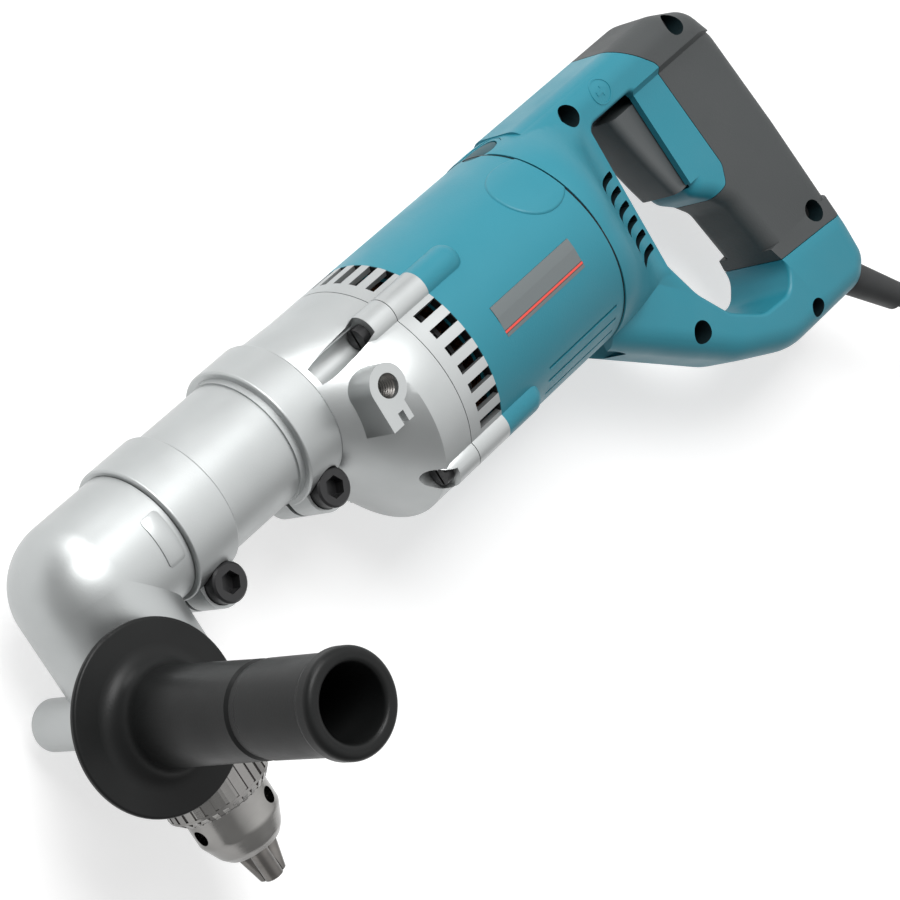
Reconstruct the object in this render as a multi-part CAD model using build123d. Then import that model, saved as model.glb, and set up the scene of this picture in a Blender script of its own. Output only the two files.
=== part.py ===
"""Right angle drill: reversible angle head, clamped sleeve, two-stage gear case, motor and D-handle.

Millimetres. The drill lies on its side: X runs along the motor from the head to the handle,
the chuck points to -Y and the side grip stands up along +Z. Pieces are drawn round the elbow
centre, where the sleeve axis and the chuck axis cross, and moved into the part's frame on export.
"""
import os
from math import acos, asin, atan, atan2, cos, degrees, hypot, pi, radians, sin, sqrt, tan

from build123d import *

os.makedirs("parts", exist_ok=True)

# Elbow centre in the part's frame, whose origin is the middle of the underside.
ELBOW = (-191.06, 63.42, 48.33)

# Fits: running clearance, seats within a body, gaps between bodies.
RUN = 0.05
SEAT = 0.05
GAP = 0.3

# Angle head.
HEAD_R = 28.0
SPIGOT_R = 25.0
SPIGOT_LENGTH = 21.0
NECK_LENGTH = 30.2
ARM_LENGTH = 50.0
HEAD_WALL = 3.2
GRIP_TUBE_R = 10.2
GRIP_TUBE_HALF = 34.2
GRIP_TUBE_X = -24.0
GRIP_TUBE_Y = -44.4

# Coupling sleeve with its clamp rings and bolts.
SLEEVE_R = 28.0
SLEEVE_LENGTH = 83.5
FRONT_RING_R = 30.3
FRONT_RING_WIDTH = 23.0
REAR_RING_R = 31.7
REAR_RING_WIDTH = 19.5
COLLAR_WIDTH = 3.0
COLLAR_STEP = 0.8
SLIT = 2.4
BOLT_DROP = 31.0
BOLT_R = 5.0
BOLT_HEAD_R = 8.0
BOLT_HEAD_HEIGHT = 9.0
BOLT_SOCKET = 8.0
LUG_R = 9.5
LUG_HALF = 14.0

# Gear case, its rear casting and the motor housing share the barrel section.
BARREL_R = 48.3
BARREL_DROP = 20.5
CASE_LENGTH = 42.6
CASE_TAPER = 26.5
CASE_NOSE_R = 30.5
CASE_WALL = 6.7
COVER_LENGTH = 20.0
BULKHEAD = 9.5
MOTOR_LENGTH = 85.0
CHAMBER_R = BARREL_R - CASE_WALL
LOBE_R = 7.5
LOBE_REACH = BARREL_R - 2.8
LOBE_STRAIGHT = 13.0
LOBE_TAPER = 14.0
LOBE_PAD = 25.0
SCREW_R = 2.4
SCREW_HEAD_R = 4.4
SCREW_HEAD_HEIGHT = 4.2
SCREW_BITE = 22.0
SCREW_RECESS = 12.5
VENT_COUNT = 7
VENT_STEP = 10.3
VENT_WIDTH = 4.2
VENT_LENGTH = 13.5
SIDE_BOSS_R = 9.0
SIDE_BOSS_Y = -5.3
SIDE_BOSS_BACK = 27.0
SIDE_BOSS_TOP = BARREL_R + 0.7
SIDE_BOSS_TAIL = 16.0
GRIP_THREAD_R = 5.0
GRIP_THREAD_DEPTH = 16.0

# Gear train: motor pinion, intermediate wheel and pinion, output gear.
MOTOR_PINION_TEETH = 9
WHEEL_TEETH = 54
FIRST_MODULE = 0.7
INTER_PINION_TEETH = 10
OUTPUT_TEETH = 62
SECOND_MODULE = 0.8
PRESSURE_ANGLE = 20.0
PINION_SHIFT = 0.4
TOOTH_PLAY = 0.16
WHEEL_WIDTH = 7.0
OUTPUT_GEAR_WIDTH = 8.0
OUTPUT_SHAFT_R = 6.0
OUTPUT_TAIL_R = 5.0
INTER_SHAFT_R = 3.0
BUSH_WALL = 1.6
BUSH_LENGTH = 5.0

# Bevel pair in the angle head.
BEVEL_PINION_TEETH = 12
BEVEL_GEAR_TEETH = 24
BEVEL_MODULE = 1.8
BEVEL_FACE = 7.5
BEVEL_PRESSURE = 22.5
BEVEL_PLAY = 0.28
BEVEL_SHAFT_R = 6.0
HEX_TAIL = 9.0

# Ball bearings: bore radius, outer radius, width.
SMALL_BEARING = (4.0, 11.0, 7.0)
HEAD_BEARING = (6.0, 16.0, 10.0)
SPINDLE_BEARING = (8.5, 17.5, 10.0)

# Motor.
MOTOR_WALL = 6.8
FIELD_R = BARREL_R - MOTOR_WALL
FIELD_BORE = 25.0
FIELD_LENGTH = 56.0
FIELD_START = 12.0
COIL_INNER = 27.0
COIL_OUTER = 35.0
COIL_OVERHANG = 6.5
ARMATURE_R = 24.4
ARMATURE_SLOTS = 12
COMMUTATOR_R = 15.5
COMMUTATOR_LENGTH = 20.0
FAN_R = CHAMBER_R - 3.6
FAN_BLADES = 16
FAN_WIDTH = 12.0
MOTOR_SHAFT_R = 6.0
BRUSH_BACK = 90.0
BRUSH_WIDE = 6.0
BRUSH_LONG = 10.0
BRUSH_SPRING = 9.2
BRUSH_HOLDER_R = 7.0
BRUSH_CAP_R = 8.2
BRUSH_TOWER_R = 10.0
CARRIER_R = 21.5
PLATE_BACK = 15.5
PLATE_LENGTH = 52.0
PLATE_BELOW = 3.5
PLATE_ABOVE = 10.3
PLATE_SINK = 0.6
PLATE_STAND = 0.3
RIB_LENGTH = 47.0
RIB_BACK = 5.5
RIB_WIDTH = 1.4
RIB_DEPTH = 0.9
RIB_ANGLES = (54, 45.5, 36)

# Key chuck.
CHUCK_BACK = 72.5
CHUCK_LENGTH = 49.0
CHUCK_BODY_R = 17.6
CHUCK_TOP_R = 19.4
CHUCK_NOSE_R = 11.5
KEY_SLEEVE_R = 22.0
KEY_SLEEVE_LENGTH = 24.5
KEY_TEETH = 30
KEY_HOLE_R = 3.4
JAW_R = 3.9
JAW_ANGLE = 16.0
JAW_REACH = 14.5
JAW_LENGTH = 44.0
JAW_TRAVEL = 20.5
JAW_TIP_OFFSET = 1.9
NUT_WIDTH = 6.0

# D-handle: moulded halves, grip covers, switch parts.
BAR_HALF = 19.5
BAR_EDGE = 11.0
BAR_LIP = 2.0
LEG_HALF = 16.5
LEG_EDGE = 9.5
LEG_LIP = 7.5
COVER_SKIN = 2.5
SEAM = 0.35
HANDLE_WALL = 5.5
SHELL_WALL = 4.2
SHELL_SPIGOT = 8.0
HANDLE_SCREW_R = 2.0
HANDLE_SCREW_HEAD_R = 3.8
HANDLE_SCREW_HEAD = 3.0
HANDLE_SCREW_REST = 7.0
HANDLE_SCREW_END = -13.0
HANDLE_BOSS_R = 5.5
TRIGGER_HALF = 9.0
TRIGGER_TRAVEL = 7.0
LEVER_HALF = 4.5
LEVER_PIN_R = 2.2

# Mains lead: guard, clamp, free cord, coil with its tie, plug.
CORD_R = 4.2
GUARD_ROOT_R = 8.0
GUARD_END_R = 6.6
GUARD_FLANGE_R = 10.0
GUARD_ANGLE = -48.6
COIL_START_R = 64.0
COIL_PITCH = 9.2
COIL_LAYER = 9.2
COIL_TURNS = 6.0
TIE_THICK = 1.4
TIE_WIDTH = 9.0
PLUG_LENGTH = 36.0
PLUG_WIDE = 25.0
PLUG_THICK = 16.0
TAIL_TURNS = 0.25
TAIL_SWING = 14.0
TAIL_DROP = 5.5

# Side grip.
FLANGE_R = 36.4
FLANGE_THICK = 3.0
GRIP_R = 17.6
GRIP_LENGTH = 119.0
GRIP_BEAD_R = 19.4
GRIP_HOLE_R = 13.6
STUD_R = 4.9


def rod_x(radius, start, end, y=0.0, z=0.0):
    return Pos((start + end) / 2, y, z) * Rot(0, 90, 0) * Cylinder(radius, end - start)


def rod_y(radius, start, end, x=0.0, z=0.0):
    return Pos(x, (start + end) / 2, z) * Rot(90, 0, 0) * Cylinder(radius, end - start)


def rod_z(radius, start, end, x=0.0, y=0.0):
    return Pos(x, y, (start + end) / 2) * Cylinder(radius, end - start)


def block(x0, x1, y0, y1, z0, z1):
    return Pos((x0 + x1) / 2, (y0 + y1) / 2, (z0 + z1) / 2) * Box(x1 - x0, y1 - y0, z1 - z0)


def rounded_face(corners):
    """Plane face with straight sides whose corners (x, y, radius) are round."""
    spots = []
    count = len(corners)
    for index in range(count):
        before = Vector(*corners[index - 1][:2])
        corner = Vector(*corners[index][:2])
        after = Vector(*corners[(index + 1) % count][:2])
        radius = corners[index][2] if len(corners[index]) > 2 else 0
        if not radius:
            spots.append([corner])
            continue
        back = (before - corner).normalized()
        ahead = (after - corner).normalized()
        half = back.get_angle(ahead) / 2
        reach = radius / tan(radians(half))
        sag = radius / sin(radians(half)) - radius
        middle = corner + (back + ahead).normalized() * sag
        spots.append([corner + back * reach, middle, corner + ahead * reach])
    edges = []
    for index, spot in enumerate(spots):
        edges.append(Line(spots[index - 1][-1], spot[0]))
        if len(spot) == 3:
            edges.append(ThreePointArc(*spot))
    return make_face(edges)


def turned(corners):
    """Solid of revolution about Y from (y, radius, corner radius) corners."""
    face = rounded_face([(corner[1], corner[0], *corner[2:]) for corner in corners])
    return revolve(face, axis=Axis.Y)


def turned_x(corners, y=0.0, z=0.0):
    return Pos(0, y, z) * Rot(0, 0, -90) * turned(corners)


def turned_y(corners, x=0.0, z=0.0):
    return Pos(x, 0, z) * turned(corners)


def turned_z(corners, x=0.0, y=0.0):
    return Pos(x, y, 0) * Rot(90, 0, 0) * turned(corners)


def bearing_x(size, start, y=0.0, z=0.0):
    bore, outer, width = size
    return race(rod_x, bore, outer, width, start, y, z)


def bearing_y(size, start, x=0.0, z=0.0):
    bore, outer, width = size
    return race(rod_y, bore, outer, width, start, x, z)


def race(rod, bore, outer, width, start, p, q):
    """Ball bearing as one ring, with the shield recess between its races on both faces."""
    ring = rod(outer, start, start + width, p, q) - rod(bore, start - 1, start + width + 1, p, q)
    third = (outer - bore) / 3
    recess = 0.6
    for face in (start - recess, start + width - recess):
        groove = rod(outer - third, face, face + 2 * recess, p, q)
        ring -= groove - rod(bore + third, face - 1, face + 3 * recess, p, q)
    return ring


def involute(angle):
    return tan(angle) - angle


def gear_outline(teeth, module, shift, tip_share, play):
    """Points of an involute spur gear outline, with one tooth centred on the first axis."""
    pressure = radians(PRESSURE_ANGLE)
    pitch = module * teeth / 2
    base = pitch * cos(pressure)
    tip = pitch + module * (tip_share + shift)
    root = pitch - module * (1.2 - shift)
    half = (pi / 2 + 2 * shift * tan(pressure)) / teeth - play / (2 * pitch) + involute(pressure)
    start = max(base, root)
    flank = []
    for share in (0.0, 0.35, 0.7, 1.0):
        radius = start + (tip - start) * share
        flank.append((radius, half - involute(acos(base / radius))))
    if root < start:
        flank.insert(0, (root, flank[0][1]))
    points = []
    for tooth in range(teeth):
        centre = 2 * pi * tooth / teeth
        side = [(r, centre - a) for r, a in flank]
        side += [(r, centre + a) for r, a in reversed(flank)]
        points += [(r * cos(a), r * sin(a)) for r, a in side]
    return points


def spur_gear(outline, start, width, y, z, turn):
    """Gear outline drawn in the YZ plane and drawn out along X."""
    plane = Plane(origin=(start, y, z), x_dir=(0, 1, 0), z_dir=(1, 0, 0))
    face = plane * Rot(0, 0, degrees(turn)) * make_face(Polyline(outline, close=True))
    return extrude(face, amount=width, dir=(1, 0, 0))


def bevel_cone(teeth, mate, plane, turn, near, far):
    """Tooth pyramid of a straight bevel gear between two planes square to its axis."""
    pitch_cone = atan(teeth / mate)
    base_cone = asin(sin(pitch_cone) * cos(radians(BEVEL_PRESSURE)))
    reach = BEVEL_MODULE * hypot(teeth, mate) / 2
    tip_cone = pitch_cone + atan(0.85 * BEVEL_MODULE / reach)
    root_cone = pitch_cone - atan(1.1 * BEVEL_MODULE / reach)

    def lag(cone):
        """Azimuth run of the spherical involute from its base cone out to a cone."""
        arc = acos(min(1.0, cos(cone) / cos(base_cone)))
        roll = arc / sin(base_cone)
        return roll - atan2(sin(arc), cos(arc) * sin(base_cone))

    half = pi / (2 * teeth) - BEVEL_PLAY / (BEVEL_MODULE * teeth) + lag(pitch_cone)
    start = max(base_cone, root_cone)
    flank = [(start + (tip_cone - start) * s) for s in (0.0, 0.5, 1.0)]
    flank = [(cone, half - lag(cone)) for cone in flank]
    if root_cone < start:
        flank.insert(0, (root_cone, flank[0][1]))
    sections = []
    for height in (near, far):
        points = []
        for tooth in range(teeth):
            centre = 2 * pi * tooth / teeth + turn
            side = [(c, centre - a) for c, a in flank]
            side += [(c, centre + a) for c, a in reversed(flank)]
            points += [(height * tan(c) * cos(a), height * tan(c) * sin(a), height) for c, a in side]
        sections.append(plane * make_face(Polyline(points, close=True)))
    return loft(sections, ruled=True)


def save(name, shape):
    shape.label = name
    export_step(Pos(*ELBOW) * shape, f"parts/{name}.step")


# Stations along X, counted from the elbow centre.
sleeve_start = NECK_LENGTH + GAP
sleeve_end = sleeve_start + SLEEVE_LENGTH
case_start = sleeve_end + GAP
case_end = case_start + CASE_LENGTH
cover_end = case_end + COVER_LENGTH
motor_end = cover_end + MOTOR_LENGTH
motor_y = -BARREL_DROP

# Gear centres: the intermediate axis sits where both centre distances meet.
first_distance = FIRST_MODULE * (MOTOR_PINION_TEETH + WHEEL_TEETH) / 2
second_distance = SECOND_MODULE * (INTER_PINION_TEETH + OUTPUT_TEETH) / 2
inter_y = (first_distance**2 - second_distance**2 - BARREL_DROP**2) / (2 * BARREL_DROP)
inter_z = -sqrt(second_distance**2 - inter_y**2)

lobe_angles = [radians(a) for a in (45, 135, 225, 315)]
lobe_places = [(motor_y + LOBE_REACH * cos(a), LOBE_REACH * sin(a)) for a in lobe_angles]

# Angle head casting: an elbow of two arms, hollow for the gears, with a cross tube for the grip.
neck_end = NECK_LENGTH + SPIGOT_LENGTH
arm_end = -ARM_LENGTH - SPIGOT_LENGTH
head_seat = HEAD_BEARING[1] + SEAT
spindle_seat = SPINDLE_BEARING[1] + SEAT
bevel_reach = BEVEL_MODULE * hypot(BEVEL_PINION_TEETH, BEVEL_GEAR_TEETH) / 2
gear_chamber_r = HEAD_R - HEAD_WALL - 1
upper_bearing_top = -BEVEL_MODULE * BEVEL_PINION_TEETH / 2 - 15
retainer_width = 1.5
lower_bearing_end = arm_end + retainer_width + SEAT

outward = Rot(0, 0, 45) * Rot(90, 0, 0)
angle_head = outward * Sphere(HEAD_R) + rod_x(HEAD_R, 0, NECK_LENGTH) + rod_y(HEAD_R, -ARM_LENGTH, 0)
angle_head += rod_x(SPIGOT_R, 0, neck_end) + rod_y(SPIGOT_R, arm_end, 0)
angle_head += rod_z(GRIP_TUBE_R, -GRIP_TUBE_HALF, GRIP_TUBE_HALF, GRIP_TUBE_X, GRIP_TUBE_Y)
angle_head -= outward * Sphere(HEAD_R - HEAD_WALL)
angle_head -= rod_x(head_seat, 0, neck_end + 1)
angle_head -= rod_y(gear_chamber_r, upper_bearing_top + GAP, 0)
angle_head -= rod_y(head_seat, lower_bearing_end + 1, 0)
angle_head -= rod_y(spindle_seat, arm_end - 1, lower_bearing_end + SPINDLE_BEARING[2] + SEAT)
for side in (1, -1):
    thread = sorted((side * (GRIP_TUBE_HALF + 1), side * (GRIP_TUBE_HALF - GRIP_THREAD_DEPTH)))
    angle_head -= rod_z(GRIP_THREAD_R, *thread, GRIP_TUBE_X, GRIP_TUBE_Y)
save("angle_head", angle_head)

# Bevel pinion on the sleeve axis, its long shaft and hexagonal tail.
pinion_plane = Plane(origin=(0, 0, 0), x_dir=(0, 1, 0), z_dir=(1, 0, 0))
pinion_cone = atan(BEVEL_PINION_TEETH / BEVEL_GEAR_TEETH)
pinion_back = bevel_reach * cos(pinion_cone)
pinion_front = (bevel_reach - BEVEL_FACE) * cos(pinion_cone)
pinion_bearing_front = pinion_back + 4.4
pinion_bearing_rear = neck_end - HEAD_BEARING[2]
tail_start = sleeve_end - REAR_RING_WIDTH - 17
tail_end = sleeve_end - 9
hex_r = HEX_TAIL / sqrt(3)

bevel_pinion = bevel_cone(BEVEL_PINION_TEETH, BEVEL_GEAR_TEETH, pinion_plane, pi, pinion_front, pinion_back)
bevel_pinion += turned_x([
    (pinion_back, 0), (pinion_back, 8.4), (pinion_bearing_front - SEAT, 8.4),
    (pinion_bearing_front - SEAT, BEVEL_SHAFT_R - RUN), (pinion_bearing_front + 11, BEVEL_SHAFT_R - RUN),
    (tail_start, BEVEL_SHAFT_R - RUN), (tail_start, 0)])
tail_face = Plane(origin=(tail_start, 0, 0), x_dir=(0, 1, 0), z_dir=(1, 0, 0)) * RegularPolygon(hex_r, 6)
bevel_pinion += extrude(tail_face, amount=tail_end - tail_start, dir=(1, 0, 0))
save("bevel_pinion", bevel_pinion)

pinion_bearings = bearing_x(HEAD_BEARING, pinion_bearing_front) + bearing_x(HEAD_BEARING, pinion_bearing_rear)
save("pinion_bearings", pinion_bearings)

# Bevel gear on the chuck spindle.
gear_plane = Plane(origin=(0, 0, 0), x_dir=(1, 0, 0), z_dir=(0, -1, 0))
gear_cone = pi / 2 - pinion_cone
spindle_r = HEAD_BEARING[0] - RUN
rim = (sin(gear_cone), cos(gear_cone))
across = (cos(gear_cone), -sin(gear_cone))


def gear_spot(reach, lift):
    """Point (y, radius) at a cone distance and a height above the pitch cone of the bevel gear."""
    return (-(reach * rim[1] + lift * across[1]), reach * rim[0] + lift * across[0])


tooth_band = turned_y([gear_spot(bevel_reach, 3), gear_spot(bevel_reach, -3),
                       gear_spot(bevel_reach - BEVEL_FACE, -3), gear_spot(bevel_reach - BEVEL_FACE, 3)])
bevel_gear = bevel_cone(BEVEL_GEAR_TEETH, BEVEL_PINION_TEETH, gear_plane, pi / BEVEL_GEAR_TEETH, 4.0, 14.0)
bevel_gear = bevel_gear & tooth_band
gear_root = 1.1 * BEVEL_MODULE
gear_back = upper_bearing_top + 0.5
bevel_gear += turned_y([
    gear_spot(bevel_reach, -gear_root + 0.05), gear_spot(bevel_reach - BEVEL_FACE, -gear_root + 0.05),
    (gear_spot(bevel_reach - BEVEL_FACE, -gear_root)[0], spindle_r + SEAT), (gear_back, spindle_r + SEAT),
    (gear_back, 10.5), (gear_spot(bevel_reach, -gear_root - 3)[0] - 2, 12)])
save("bevel_gear", bevel_gear)

# Chuck spindle with its thread for the chuck.
lower_bearing_start = lower_bearing_end + SPINDLE_BEARING[2]
thread_r = 6.2
thread_end = -CHUCK_BACK - 20
spindle_step = lower_bearing_start + 2 * SEAT
chuck_spindle = turned_y([
    (gear_spot(bevel_reach - BEVEL_FACE, 0)[0] + 1, 0),
    (gear_spot(bevel_reach - BEVEL_FACE, 0)[0] + 1, spindle_r),
    (upper_bearing_top - HEAD_BEARING[2] - 1, spindle_r), (upper_bearing_top - HEAD_BEARING[2] - 1, 9.0),
    (spindle_step + 3, 10.5), (spindle_step, 10.5), (spindle_step, SPINDLE_BEARING[0] - RUN),
    (arm_end - 1, SPINDLE_BEARING[0] - RUN), (-CHUCK_BACK, thread_r), (thread_end, thread_r),
    (thread_end, 0)])
save("chuck_spindle", chuck_spindle)

spindle_bearings = bearing_y(HEAD_BEARING, upper_bearing_top - HEAD_BEARING[2])
spindle_bearings += bearing_y(SPINDLE_BEARING, lower_bearing_end)
save("spindle_bearings", spindle_bearings)

bearing_retainer = rod_y(spindle_seat - SEAT, arm_end, arm_end + retainer_width)
bearing_retainer -= rod_y(SPINDLE_BEARING[0] + 2.5, arm_end - 1, arm_end + 3)
save("bearing_retainer", bearing_retainer)

# Key chuck: body with three slanted jaw bores, split nut, toothed key sleeve, jaws.
chuck_top = -CHUCK_BACK
chuck_nose = -CHUCK_BACK - CHUCK_LENGTH
jaw_tip = chuck_nose - JAW_REACH
sleeve_top = chuck_top - 1.5
sleeve_foot = sleeve_top - KEY_SLEEVE_LENGTH
nut_foot = sleeve_foot + 0.9
nut_top = nut_foot + NUT_WIDTH
groove_r = 15.4
sleeve_bore = 20.25
lead = radians(JAW_ANGLE)


def jaw_envelope(height):
    """Largest radius that a jaw's bore reaches at a height Y on the chuck axis."""
    return JAW_TIP_OFFSET + (height - jaw_tip) * tan(lead) + (JAW_R + GAP) / cos(lead)


def jaw_rod(radius, start, end):
    return Pos(JAW_TIP_OFFSET, jaw_tip, 0) * Rot(0, 0, -JAW_ANGLE) * rod_y(radius, start, end)


key_hole_y = sleeve_foot - 6.5
chuck_body = turned_y([
    (chuck_top, thread_r + SEAT), (chuck_top, CHUCK_TOP_R, 1.5), (nut_top + 0.2, CHUCK_TOP_R),
    (nut_top + 0.2, groove_r), (nut_foot - 0.2, groove_r), (nut_foot - 0.2, CHUCK_BODY_R),
    (chuck_nose + 11, CHUCK_BODY_R, 4), (chuck_nose + 3, CHUCK_NOSE_R + 2.5, 5),
    (chuck_nose, CHUCK_NOSE_R, 1),
    (chuck_nose, 5.5), (thread_end - 3, 5.5), (thread_end - 3, thread_r + SEAT)])
for turn in (0, 120, 240):
    chuck_body -= Rot(0, turn, 0) * jaw_rod(JAW_R + GAP, -5, JAW_LENGTH + JAW_TRAVEL + 15)
    chuck_body -= Rot(0, turn + 60, 0) * rod_x(KEY_HOLE_R, 9, 25, key_hole_y)
save("chuck_body", chuck_body)

chuck_nut = turned_y([
    (nut_foot, jaw_envelope(nut_foot)), (nut_foot, sleeve_bore - SEAT),
    (nut_top, sleeve_bore - SEAT), (nut_top, jaw_envelope(nut_top))])
save("chuck_nut", chuck_nut)

def notched_face(height, tip, root, share):
    """Star outline square to the chuck axis, with one notch per key tooth."""
    points = []
    for tooth in range(KEY_TEETH):
        for step, radius in ((0, tip), (share, tip), (share, root), (1, root)):
            angle = 2 * pi * (tooth + step) / KEY_TEETH
            points.append((radius * cos(angle), height, radius * sin(angle)))
    return make_face(Polyline(points, close=True))


flute_foot = sleeve_foot + 4
flute_top = sleeve_top - 2
tooth_depth = 2.2
flutes = notched_face(flute_foot, KEY_SLEEVE_R, KEY_SLEEVE_R - 0.6, 0.7)
key_sleeve = extrude(flutes, amount=flute_top - flute_foot, dir=(0, 1, 0))
key_sleeve += rod_y(KEY_SLEEVE_R, sleeve_foot + 3, flute_foot)
key_sleeve += turned_y([
    (flute_top, 0), (flute_top, KEY_SLEEVE_R), (sleeve_top, KEY_SLEEVE_R - 0.8), (sleeve_top, 0)])
key_sleeve += loft([notched_face(sleeve_foot, KEY_SLEEVE_R - 2.6, KEY_SLEEVE_R - 2.6 - tooth_depth / 2, 0.5),
                    notched_face(sleeve_foot + 3, KEY_SLEEVE_R, KEY_SLEEVE_R - tooth_depth, 0.5)], ruled=True)
key_sleeve -= rod_y(sleeve_bore, nut_foot - SEAT, sleeve_top + 1)
key_sleeve -= rod_y(CHUCK_BODY_R + GAP, sleeve_foot - 1, sleeve_top)
save("key_sleeve", key_sleeve)

apex = 0.2 / sin(pi / 3)
wedge_half = 40 * tan(pi / 3)
wedge_face = make_face(Polyline([(apex, 0), (apex + 40, wedge_half), (apex + 40, -wedge_half)], close=True))
wedge = Pos(0, jaw_tip, 0) * Rot(-90, 0, 0) * extrude(wedge_face, amount=80)
open_bore = Pos(-JAW_TRAVEL * sin(lead), -JAW_TRAVEL * cos(lead), 0)
ground = open_bore * rod_y(CHUCK_TOP_R - 0.4, jaw_tip - 40, 0)
jaw = jaw_rod(JAW_R, -8, JAW_LENGTH) & wedge & ground
for index, turn in enumerate((0, 120, 240)):
    save(f"chuck_jaw_{index + 1}", Rot(0, turn, 0) * jaw)

# Side grip on the cross tube, with its moulded-in stud.
grip_foot = GRIP_TUBE_HALF + GAP
grip_end = grip_foot + GRIP_LENGTH
groove_z = grip_foot + 0.6 * GRIP_LENGTH
stud_top = grip_foot + 26
side_grip = turned_z([
    (grip_foot, STUD_R + SEAT), (grip_foot, FLANGE_R, 1.2), (grip_foot + FLANGE_THICK, FLANGE_R, 1.2),
    (grip_foot + FLANGE_THICK + 1.5, GRIP_R + 1, 9), (groove_z - 3, GRIP_R), (groove_z - 1.5, GRIP_R - 0.9),
    (groove_z + 1.5, GRIP_R - 0.9), (groove_z + 3, GRIP_R), (grip_end - 9, GRIP_R, 2),
    (grip_end - 7, GRIP_BEAD_R, 2.5), (grip_end, GRIP_BEAD_R, 2.8), (grip_end, GRIP_HOLE_R, 2),
    (stud_top + 8, GRIP_HOLE_R - 1.5), (stud_top + 8, 0), (stud_top, 0), (stud_top, STUD_R + SEAT)],
    GRIP_TUBE_X, GRIP_TUBE_Y)
save("side_grip", side_grip)

stud_foot = GRIP_TUBE_HALF - GRIP_THREAD_DEPTH + 1.5
side_grip_stud = rod_z(STUD_R, stud_foot, stud_top - SEAT, GRIP_TUBE_X, GRIP_TUBE_Y)
save("side_grip_stud", side_grip_stud)

# Coupling sleeve: split tube, clamp rings with lugs, slit on the chuck side.
front_ring_mid = sleeve_start + FRONT_RING_WIDTH / 2
rear_ring_mid = sleeve_end - REAR_RING_WIDTH / 2
bolt_places = (front_ring_mid, rear_ring_mid)
rear_ring_start = sleeve_end - REAR_RING_WIDTH
head_rest = LUG_HALF - 3
coupling_sleeve = turned_x([
    (sleeve_start, 0), (sleeve_start, FRONT_RING_R, 1), (sleeve_start + FRONT_RING_WIDTH, FRONT_RING_R, 1),
    (sleeve_start + FRONT_RING_WIDTH, SLEEVE_R, 1), (rear_ring_start - COLLAR_WIDTH, SLEEVE_R),
    (rear_ring_start - COLLAR_WIDTH, SLEEVE_R + COLLAR_STEP), (rear_ring_start, SLEEVE_R + COLLAR_STEP),
    (rear_ring_start, REAR_RING_R, 1), (sleeve_end, REAR_RING_R, 1), (sleeve_end, 0)])
for place in bolt_places:
    lug = rod_z(LUG_R, -LUG_HALF, LUG_HALF, place, -BOLT_DROP)
    lug += block(place - LUG_R, place + LUG_R, -BOLT_DROP, -SPIGOT_R + 8, -LUG_HALF, LUG_HALF)
    coupling_sleeve += lug
coupling_sleeve -= rod_x(SPIGOT_R + RUN, sleeve_start - 1, sleeve_end + 1)
slit_foot = -BOLT_DROP - 20
coupling_sleeve -= block(sleeve_start - 1, sleeve_end + 1, slit_foot, 10 - SPIGOT_R, -SLIT / 2, SLIT / 2)
for place in bolt_places:
    coupling_sleeve -= rod_z(BOLT_R + SEAT, -REAR_RING_R, LUG_HALF, place, -BOLT_DROP)
    coupling_sleeve -= rod_z(BOLT_HEAD_R + GAP, head_rest, REAR_RING_R, place, -BOLT_DROP)
save("coupling_sleeve", coupling_sleeve)

clamp_bolts = []
for place in bolt_places:
    bolt = rod_z(BOLT_R, -LUG_HALF - 2, head_rest, place, -BOLT_DROP)
    bolt += rod_z(BOLT_HEAD_R, head_rest, head_rest + BOLT_HEAD_HEIGHT, place, -BOLT_DROP)
    bolt = chamfer(bolt.edges().filter_by(GeomType.CIRCLE).group_by(Axis.Z)[-1], 0.8)
    socket = extrude(RegularPolygon(BOLT_SOCKET / sqrt(3), 6), amount=6)
    clamp_bolts.append(bolt - Pos(place, -BOLT_DROP, head_rest + BOLT_HEAD_HEIGHT - 5) * socket)
save("clamp_bolts", Compound(children=clamp_bolts))

# Gear train stations along X.
output_gear_start = case_start + 11.6
output_gear_end = output_gear_start + OUTPUT_GEAR_WIDTH
wheel_start = output_gear_end + 4
wheel_end = wheel_start + WHEEL_WIDTH
front_bush_end = output_gear_start - 1.5
bulkhead_start = wheel_end + 4.5
bulkhead_end = bulkhead_start + BULKHEAD
rear_bush_end = bulkhead_start + BUSH_LENGTH
output_tip = SECOND_MODULE * (OUTPUT_TEETH / 2 + 0.8 - PINION_SHIFT)
wheel_tip = FIRST_MODULE * (WHEEL_TEETH / 2 + 0.8 - PINION_SHIFT)
output_bearing_start = case_start - 16.4
output_bearing_end = output_bearing_start + SPINDLE_BEARING[2]

# Gear case: nose spigot, taper to the barrel, screw lobes, threaded side boss.
case_spigot_start = sleeve_end - REAR_RING_WIDTH - 1.5
nose = Plane(origin=(case_start, -1, 0), x_dir=(0, 1, 0), z_dir=(1, 0, 0))
shoulder = Plane(origin=(case_start + CASE_TAPER, motor_y, 0), x_dir=(0, 1, 0), z_dir=(1, 0, 0))
gear_housing = loft([nose * Circle(CASE_NOSE_R), shoulder * Circle(BARREL_R)])
gear_housing += rod_x(BARREL_R, case_start + CASE_TAPER, case_end, motor_y)
gear_housing += rod_x(SPIGOT_R - SEAT, case_spigot_start, case_start + 3)
side_boss_x = case_end - SIDE_BOSS_BACK
pad = rod_z(SIDE_BOSS_R, 25, SIDE_BOSS_TOP, side_boss_x, SIDE_BOSS_Y)
tail_foot = SIDE_BOSS_Y - SIDE_BOSS_TAIL
pad += block(side_boss_x - SIDE_BOSS_R, side_boss_x + 3, tail_foot, SIDE_BOSS_Y, 25, SIDE_BOSS_TOP)
pad -= block(side_boss_x - 3, side_boss_x, tail_foot - 1, tail_foot + 5, SIDE_BOSS_TOP - 3, SIDE_BOSS_TOP + 1)
gear_housing += pad
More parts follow.
